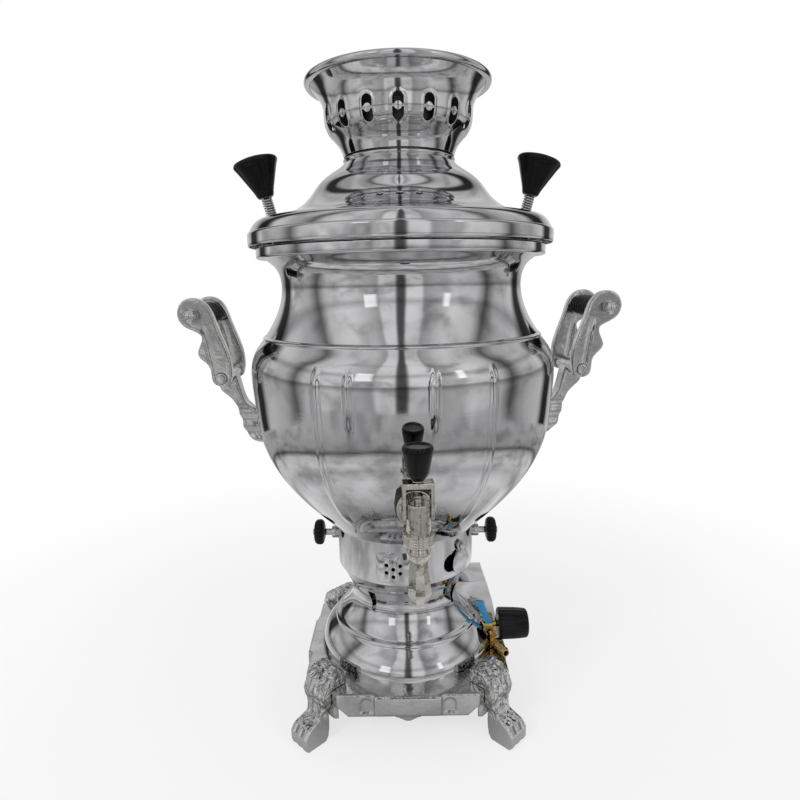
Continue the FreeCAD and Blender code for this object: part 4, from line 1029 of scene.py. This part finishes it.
def prism(name, corners, start, end):
    """A closed prism between two places of one outline."""
    count = len(corners)
    vertices = [Vector(c) + Vector(start) for c in corners] + [Vector(c) + Vector(end) for c in corners]
    faces = [tuple(range(count)), tuple(range(2 * count - 1, count - 1, -1))]
    faces += [(i, count + i, count + (i + 1) % count, (i + 1) % count) for i in range(count)]
    return new_piece(name, vertices, faces)


def round_cutter(name, radius, start, end):
    start, end = Vector(start), Vector(end)
    side, other, along = frame_of(end - start)
    corners = [side * (radius * across) + other * (radius * up) for across, up in circle(40)]
    return prism(name, corners, start, end)


def bell_piece():
    line = []
    for r, z in through(BELL_LINE, 16):
        line.append((r + 1.5 * ridge(z - BELL_STEP_Z, 2.2), z))
    flange = [(68.0, BASE_TOP + SHEET), (68.0, BASE_TOP)]
    shell = lathed("bell_uncut", walled(line), 256)
    ring = lathed("bell_flange", [(79.2, BASE_TOP + 0.02), (79.0, BASE_TOP + SHEET), *flange], 128)
    cutters = [round_cutter("valve_hole", 7.3, (55, VALVE_Y, VALVE_Z), (90, VALVE_Y, VALVE_Z))]
    for degrees in AIR_SLOTS:
        corners = [Vector((u, 0, BASE_TOP + v)) for u, v in ((-4, 68), (4, 68), (1.5, 49), (-1.5, 49))]
        slot = prism("slot", corners, (0, -20, 0), (0, -80, 0))
        slot.data.transform(Matrix.Rotation(math.radians(degrees), 4, "Z"))
        cutters.append(slot)
    return joined("bell_spun", cut_by(shell, cutters, "bell_cut"), ring)


VENT_AZIMUTH = -9.5
VENT_UP = 16.0
VENT_R = 1.7
VENT_PITCH = 6.7
LIGHT_AZIMUTH = 39.0
LIGHT_UP = 14.0
LIGHT_R = 8.0
THUMB_HOLE_R = 4.0
HOUSING_R = 61.5
HOUSING_LIP = 64.0


def vent_holes():
    places = [(0.0, 0.0)]
    for k in range(6):
        angle = math.radians(30 + 60 * k)
        places.append((VENT_PITCH * math.cos(angle), VENT_PITCH * math.sin(angle)))
    cutters = []
    for across, up in places:
        z = HOUSING_LOW + VENT_UP + up
        cutter = round_cutter("vent_hole", VENT_R, (across, -50, z), (across, -75, z))
        cutter.data.transform(Matrix.Rotation(math.radians(VENT_AZIMUTH), 4, "Z"))
        cutters.append(cutter)
    return cutters


def housing_piece():
    low, high = HOUSING_LOW, HOUSING_TOP
    inner, burner_hole = HOUSING_R - SHEET, 9.0
    outline = [(burner_hole, low), (HOUSING_R, low), (HOUSING_R, high - SHEET), (HOUSING_LIP, high - SHEET),
               (HOUSING_LIP, high), (inner, high), (inner, low + SHEET), (burner_hole, low + SHEET)]
    shell = lathed("housing_uncut", softened(outline, 0.7), 256)
    cutters = [joined("vents", *vent_holes())]
    cutters.append(round_cutter("light_hole", LIGHT_R, azimuth(LIGHT_AZIMUTH, 46, low + LIGHT_UP),
                                azimuth(LIGHT_AZIMUTH, 72, low + LIGHT_UP)))
    for side in (-1, 1):
        cutters.append(round_cutter("thumb_hole", THUMB_HOLE_R, (side * 50, 0, THUMB_Z),
                                    (side * 75, 0, THUMB_Z)))
    return cut_by(shell, cutters, "housing_spun")


# Castings

def leg_relief(point, normal):
    """Leaf and mane strands that run down the knee and fade over the toe."""
    out = (abs(point.x) + abs(point.y)) / math.sqrt(2)
    across = (abs(point.x) - abs(point.y)) / math.sqrt(2)
    outward = (normal.x * math.copysign(1, point.x) + normal.y * math.copysign(1, point.y)) / math.sqrt(2)
    facing = max(outward, normal.z * 0.8, 0.0)
    upper = min(max((point.z - 18) / 12, 0.0), 1.0)
    strands = math.cos(across * 0.95 + math.copysign(1, across) * point.z * 0.16 + out * 0.12)
    vein = ridge(across, 1.6)
    toe = (1 - upper) * max(math.cos(across * 0.85), 0.0) * (1 if out > 112 else 0)
    return facing * (upper * (0.35 * strands + 0.4 * vein) + toe * 0.5) - 0.3


def make_stand_castings():
    for name in ("leg_rear_right", "leg_rear_left", "leg_front_left", "leg_front_right"):
        put(cast_copy(name, 0.8, 5, leg_relief), "stand", MANE, "cast_plated", name)
    put(cast_copy("foot_frame", 1.1, 2), "stand", CASTING, "cast_plated", "foot_frame")


ARM_KNUCKLE = (150.0, 303.0)
GRIP_R = 169.0
GRIP_Z = BASE_TOP + 308.5
GRIP_HALF = 23.0
BOLT_R = 2.5
BOLT_REACH = 31.0
BALL_R = 6.0
BALL_OUT = 5.5


def arm_relief(point, normal):
    """A soft crease down the middle of each arm's flat side, below the grip."""
    down = min(max((GRIP_Z - 8 - point.z) / 12, 0.0), 1.0)
    middle = ARM_KNUCKLE[0] + 2 + 0.16 * (point.z - ARM_KNUCKLE[1])
    return -0.7 * down * abs(normal.y) * ridge(abs(point.x) - middle, 3.2)


def stem_relief(point, normal):
    """A few overlapping leaf tips at the foot of the stem."""
    low = min(max((ARM_KNUCKLE[1] - 24 - point.z) / 10, 0.0), 1.0)
    leaf = math.cos(point.z * 0.55 - abs(point.y) * 0.6)
    return low * (0.55 * leaf - 0.35)


def make_handles():
    for side in ("right", "left"):
        for arm in ("_front_arm", "_rear_arm"):
            put(cast_copy(side + arm, 0.6, 12, arm_relief), "urn", CASTING, "cast_plated", side + arm)
        stem = side + "_handle_stem"
        put(cast_copy(stem, 0.6, 9, stem_relief), "urn", CASTING, "cast_plated", stem)
        put(grip_piece(side), "urn", PHENOLIC, "black_phenolic", side + "_grip")
    put(bolt_piece(), "urn", STEEL, "steel_fixing", "grip_bolts")


def grip_piece(side):
    ribs, steps = 9, 120
    grip_r, groove, chamfer = 9.0, 0.9, 0.8
    pitch = 2 * GRIP_HALF / (ribs + 1)
    line = []
    for k in range(steps + 1):
        y = -GRIP_HALF + 2 * GRIP_HALF * k / steps
        dip = 0.5 + 0.5 * math.cos(2 * math.pi * (y + GRIP_HALF) / pitch)
        edge = min(GRIP_HALF - abs(y), 1.0)
        line.append((grip_r - groove * dip ** 2 - chamfer * (1 - edge), y))
    outline = line + [(BOLT_R, GRIP_HALF), (BOLT_R, -GRIP_HALF)]
    sign = 1 if side == "right" else -1
    middle = (sign * GRIP_R, 0, GRIP_Z)
    return turned(lathed(side + "_grip_ribbed", outline, 64, middle, (0, 1, 0), sharp=60))


def bolt_piece():
    """The long bolts through the grips, with ball heads."""
    middle = BOLT_REACH + BALL_OUT
    outline = [(0.01, middle + BALL_R)]
    for k in range(1, 15):
        angle = math.pi * k / 16
        outline.append((BALL_R * math.sin(angle), middle + BALL_R * math.cos(angle)))
    outline += [(4.0, BOLT_REACH + 0.6), (4.0, BOLT_REACH), (BOLT_R, BOLT_REACH)]
    outline += [(r, -y) for r, y in reversed(outline)]
    bolts = [lathed("bolt", outline, 48, (sign * GRIP_R, 0, GRIP_Z), (0, 1, 0), closed=False)
             for sign in (-1, 1)]
    return turned(joined("grip_ball_bolts", *bolts))


def make_tap():
    put(cast_copy("tap_body", 0.42, 3), "urn", TAP_METAL, "tap_plated", "tap_body")
    put(cast_copy("tap_lever", 0.35, 3), "tap_handle", TAP_METAL, "tap_plated", "tap_lever")
    put(nozzle_piece(), "urn", TAP_METAL, "tap_plated", "tap_nozzle")
    put(eased_copy("tap_pin", 0.3), "urn", TAP_METAL, "tap_plated", "tap_pin")
    put(eased_copy("tap_nut", 0.25), "urn", TAP_METAL, "tap_plated", "tap_nut")
    put(eased_copy("tap_gasket", 0.5), "urn", RUBBER, "dark_rubber", "tap_gasket")
    put(tap_knob_piece(), "tap_handle", PHENOLIC, "black_phenolic", "tap_knob")


def make_small_parts():
    for node, width, body, finish, slot in (
            ("vent_plate", 0.4, "stand", SHEET_METAL, "polished_sheet"),
            ("ignition_cover", 0.2, "ignition_cover", SHEET_METAL, "polished_sheet"),
            ("ignition_rivet", 0.3, "stand", STEEL, "steel_fixing"),
            ("thumb_nuts", 0.5, "stand", STEEL, "steel_fixing"),
            ("valve_guard", 0.5, "stand", SHEET_METAL, "polished_sheet"),
            ("valve_tag", 0.2, "stand", BLUE, "blue_tag"),
            ("gas_valve", 0.4, "stand", BRASS, "plain_brass"),
            ("valve_stem", 0.4, "gas_control", BRASS, "plain_brass"),
            ("hose_barb", 0.3, "stand", BRASS, "plain_brass"),
            ("lid_knob_fixings", 0.3, "lid", STEEL, "steel_fixing"),
            ("base_screws", 0.3, "stand", STEEL, "steel_fixing")):
        put(eased_copy(node, width), body, finish, slot, node)
    for side in ("right", "left"):
        node = side + "_thumb_stud"
        put(eased_copy(node, 0.3), node, STEEL, "steel_fixing", node)


def make_turned_parts():
    put(urn_piece(), "urn", SHEET_METAL, "polished_sheet", "urn_shell", "urn_neck")
    put(mouth_ring_piece(), "urn", SHEET_METAL, "polished_sheet", "mouth_ring")
    put(lid_piece(), "lid", SHEET_METAL, "polished_sheet", "lid_cover")
    put(lid_band_piece(), "lid", SHEET_METAL, "polished_sheet", "lid_band")
    put(crown_piece(), "crown", SHEET_METAL, "polished_sheet", "crown", lining=SOOTED)
    put(crown_collar_piece(), "crown", SOOTED, "burner_iron")
    put(crown_rim_piece(), "crown", SHEET_METAL, "polished_sheet", "crown_rim")
    put(bell_piece(), "stand", SHEET_METAL, "polished_sheet", "pedestal_bell")
    put(housing_piece(), "stand", SHEET_METAL, "polished_sheet", "burner_housing")
    for side, name in ((-1, "left"), (1, "right")):
        put(lid_knob_piece(side, name + "_lid_knob_turned"), "lid", PHENOLIC, "black_phenolic",
            name + "_lid_knob")
        put(spring_piece(side, name + "_lid_coil"), "lid", STEEL, "steel_fixing", name + "_lid_spring")
    right = thumb_knob_piece("right_thumb_fluted")
    left = mirrored(right, "left_thumb_fluted")
    put(right, "right_thumb_knob", PHENOLIC, "black_phenolic", "right_thumb_knob")
    put(left, "left_thumb_knob", PHENOLIC, "black_phenolic", "left_thumb_knob")
    put(valve_knob_piece(), "gas_control", PHENOLIC, "black_phenolic", "valve_knob")


# Studio

def seen(f):
    """1 for rays that come from the eye or off a mirror or through glass, else 0."""
    camera = f.node("ShaderNodeLightPath")
    path = f.last
    glossy, through_glass = (Wire(f, path.outputs[k]) for k in ("Is Glossy Ray", "Is Transmission Ray"))
    return camera, f.node("ShaderNodeMath", {"operation": "MAXIMUM"}, {0: glossy, 1: through_glass})


def make_floor():
    """A pale floor that turns white away from the object and keeps a faint shadow under it."""
    size = 0.9
    corners = [(size * math.cos(math.pi * k / 32), size * math.sin(math.pi * k / 32), 0) for k in range(64)]
    mesh = bpy.data.meshes.new("floor")
    mesh.from_pydata(corners, [], [tuple(range(64))])
    floor = placed("floor", mesh)
    f = Finish("floor")
    colour = f.between(f.noise(2.0, 2.0, 0.5), (0.86, 0.86, 0.86, 1), (0.90, 0.90, 0.90, 1))
    paint = f.node("ShaderNodeBsdfDiffuse", None, {"Color": colour})
    far = f.node("ShaderNodeVectorMath", {"operation": "LENGTH"}, {0: f.place()}, output=1)
    # The metal mirrors a table top painted for it alone: painted shadow under the urn, with painted rings of
    # light and dark round it
    rings = f.ramp(far, (0.0, 0.16), (0.10, 0.30), (0.17, 0.74), (0.26, 0.92), (0.34, 0.60), (0.40, 0.86),
                   (0.50, 0.70), (0.56, 0.12), (0.60, 0.42), (0.90, 0.60))
    # Random patches of painted light and dark in what the metal mirrors
    reflected_mottle = f.ramp(f.noise(5.0, 4.0, 0.6), (0.38, 0.55), (0.52, 0.90), (0.62, 1.0))
    camera, mirrored_ray = seen(f)
    # Mirror rays see the painted shadow, rings and patches; the eye sees white
    tone = f.between(mirrored_ray, (1, 1, 1, 1), rings * reflected_mottle)
    glow = f.node("ShaderNodeEmission", None, {"Color": tone, "Strength": 1.0})
    fade = f.node("ShaderNodeMapRange", {"interpolation_type": "SMOOTHSTEP"},
                  {"Value": far, "From Min": 0.22, "From Max": 0.75, "To Min": 0.70, "To Max": 1.0})
    share = f.node("ShaderNodeMath", {"operation": "MAXIMUM"}, {0: camera * fade, 1: mirrored_ray})
    shown = f.node("ShaderNodeMixShader", None, {0: share, 1: paint, 2: glow})
    f.node("ShaderNodeOutputMaterial", None, {"Surface": shown})
    mesh.materials.append(f.material)


def make_world():
    """A white studio behind the object, and a grey room with windows for the metal to mirror."""
    world = bpy.data.worlds.new("studio")
    bpy.context.scene.world = world
    world.use_nodes = True
    f = Finish("studio", world.node_tree)
    way = f.node("ShaderNodeTexCoord", output=0)
    f.node("ShaderNodeSeparateXYZ", None, {0: way})
    split = f.last
    x, y, z = (Wire(f, split.outputs[k]) for k in range(3))
    turn = f.node("ShaderNodeMath", {"operation": "ARCTAN2"}, {0: x, 1: y}) * (0.5 / math.pi) + 0.5
    # Round the room: 0.5 is straight behind the object, 0 and 1 are straight behind the camera
    walls = f.ramp(turn, (0.0, 0.10), (0.010, 0.12), (0.016, 1.0), (0.052, 1.0), (0.060, 0.52),
                   (0.105, 0.78), (0.150, 1.0), (0.205, 0.80), (0.232, 0.16), (0.262, 0.62),
                   (0.335, 0.85), (0.355, 0.05), (0.383, 0.05), (0.398, 0.62), (0.602, 0.62),
                   (0.617, 0.05), (0.645, 0.05), (0.665, 0.85), (0.735, 0.60), (0.765, 0.14),
                   (0.795, 0.72), (0.860, 0.95), (0.905, 0.66), (0.940, 0.48), (0.947, 1.0),
                   (0.984, 1.0), (0.990, 0.12), (1.0, 0.10))
    levels = f.ramp(z * 0.5 + 0.5, (0.0, 0.90), (0.44, 0.80), (0.495, 0.40), (0.520, 0.95), (0.63, 1.0),
                    (0.69, 0.62), (0.75, 1.0), (1.0, 0.92))
    clutter = f.ramp(f.node("ShaderNodeTexNoise", None,
                            {"Vector": way, "Scale": 2.6, "Detail": 3.0, "Roughness": 0.55}),
                     (0.36, 0.60), (0.48, 0.88), (0.58, 1.0))
    windows = f.ramp(turn, (0.060, 0.0), (0.064, 1.0), (0.094, 1.0), (0.098, 0.0), (0.872, 0.0),
                     (0.876, 1.0), (0.888, 1.0), (0.892, 0.0))
    panes = f.ramp(z * 0.5 + 0.5, (0.60, 0.0), (0.605, 1.0), (0.74, 1.0), (0.745, 0.0))
    room = walls * levels * clutter + windows * panes * 0.9
    light = f.node("ShaderNodeBackground", None, {"Color": room, "Strength": 1.0})
    white = f.node("ShaderNodeBackground", None, {"Color": (1, 1, 1, 1), "Strength": 1.0})
    camera, mirrored_ray = seen(f)
    backdrop = f.ramp(turn, (0.40, 0.0), (0.44, 1.0), (0.56, 1.0), (0.60, 0.0)) * mirrored_ray * 0.30
    share = f.node("ShaderNodeMath", {"operation": "MAXIMUM"}, {0: camera, 1: backdrop})
    shown = f.node("ShaderNodeMixShader", None, {0: share, 1: light, 2: white})
    f.node("ShaderNodeOutputWorld", None, {"Surface": shown})


def area_lamp(name, place, target, size, power):
    """A lamp that the metal does not mirror: its highlights are the room's windows."""
    data = bpy.data.lights.new(name, "AREA")
    data.shape = "RECTANGLE"
    data.size, data.size_y = size
    data.energy = power
    lamp = placed(name, data)
    lamp.location = place
    lamp.rotation_euler = (Vector(target) - Vector(place)).to_track_quat("-Z", "Y").to_euler()
    lamp.visible_glossy = False


def make_lamps():
    middle = (0, 0, 0.28)
    area_lamp("key", (-0.9, -1.1, 1.2), middle, (0.22, 0.6), 8)
    area_lamp("fill", (1.2, -0.9, 0.9), middle, (0.6, 1.1), 3)
    area_lamp("top", (0.0, 0.2, 1.6), middle, (1.2, 1.2), 5)


def make_camera():
    data = bpy.data.cameras.new("photo_camera")
    data.lens = PHOTO_LENS
    data.sensor_width = PHOTO_SENSOR
    data.clip_start = 0.01
    camera = placed("photo_camera", data)
    camera.location = CAMERA_AT
    look = (Matrix.Rotation(math.radians(CAMERA_YAW), 4, "Z")
            @ Matrix.Rotation(math.radians(90 - CAMERA_PITCH), 4, "X")
            @ Matrix.Rotation(math.radians(-CAMERA_ROLL), 4, "Z"))
    camera.rotation_euler = look.to_euler()
    bpy.context.scene.camera = camera


bpy.context.scene.view_settings.view_transform = "Standard"
dress_nodes()
make_turned_parts()
make_stand_castings()
make_handles()
make_tap()
make_small_parts()
make_floor()
make_world()
make_lamps()
make_camera()
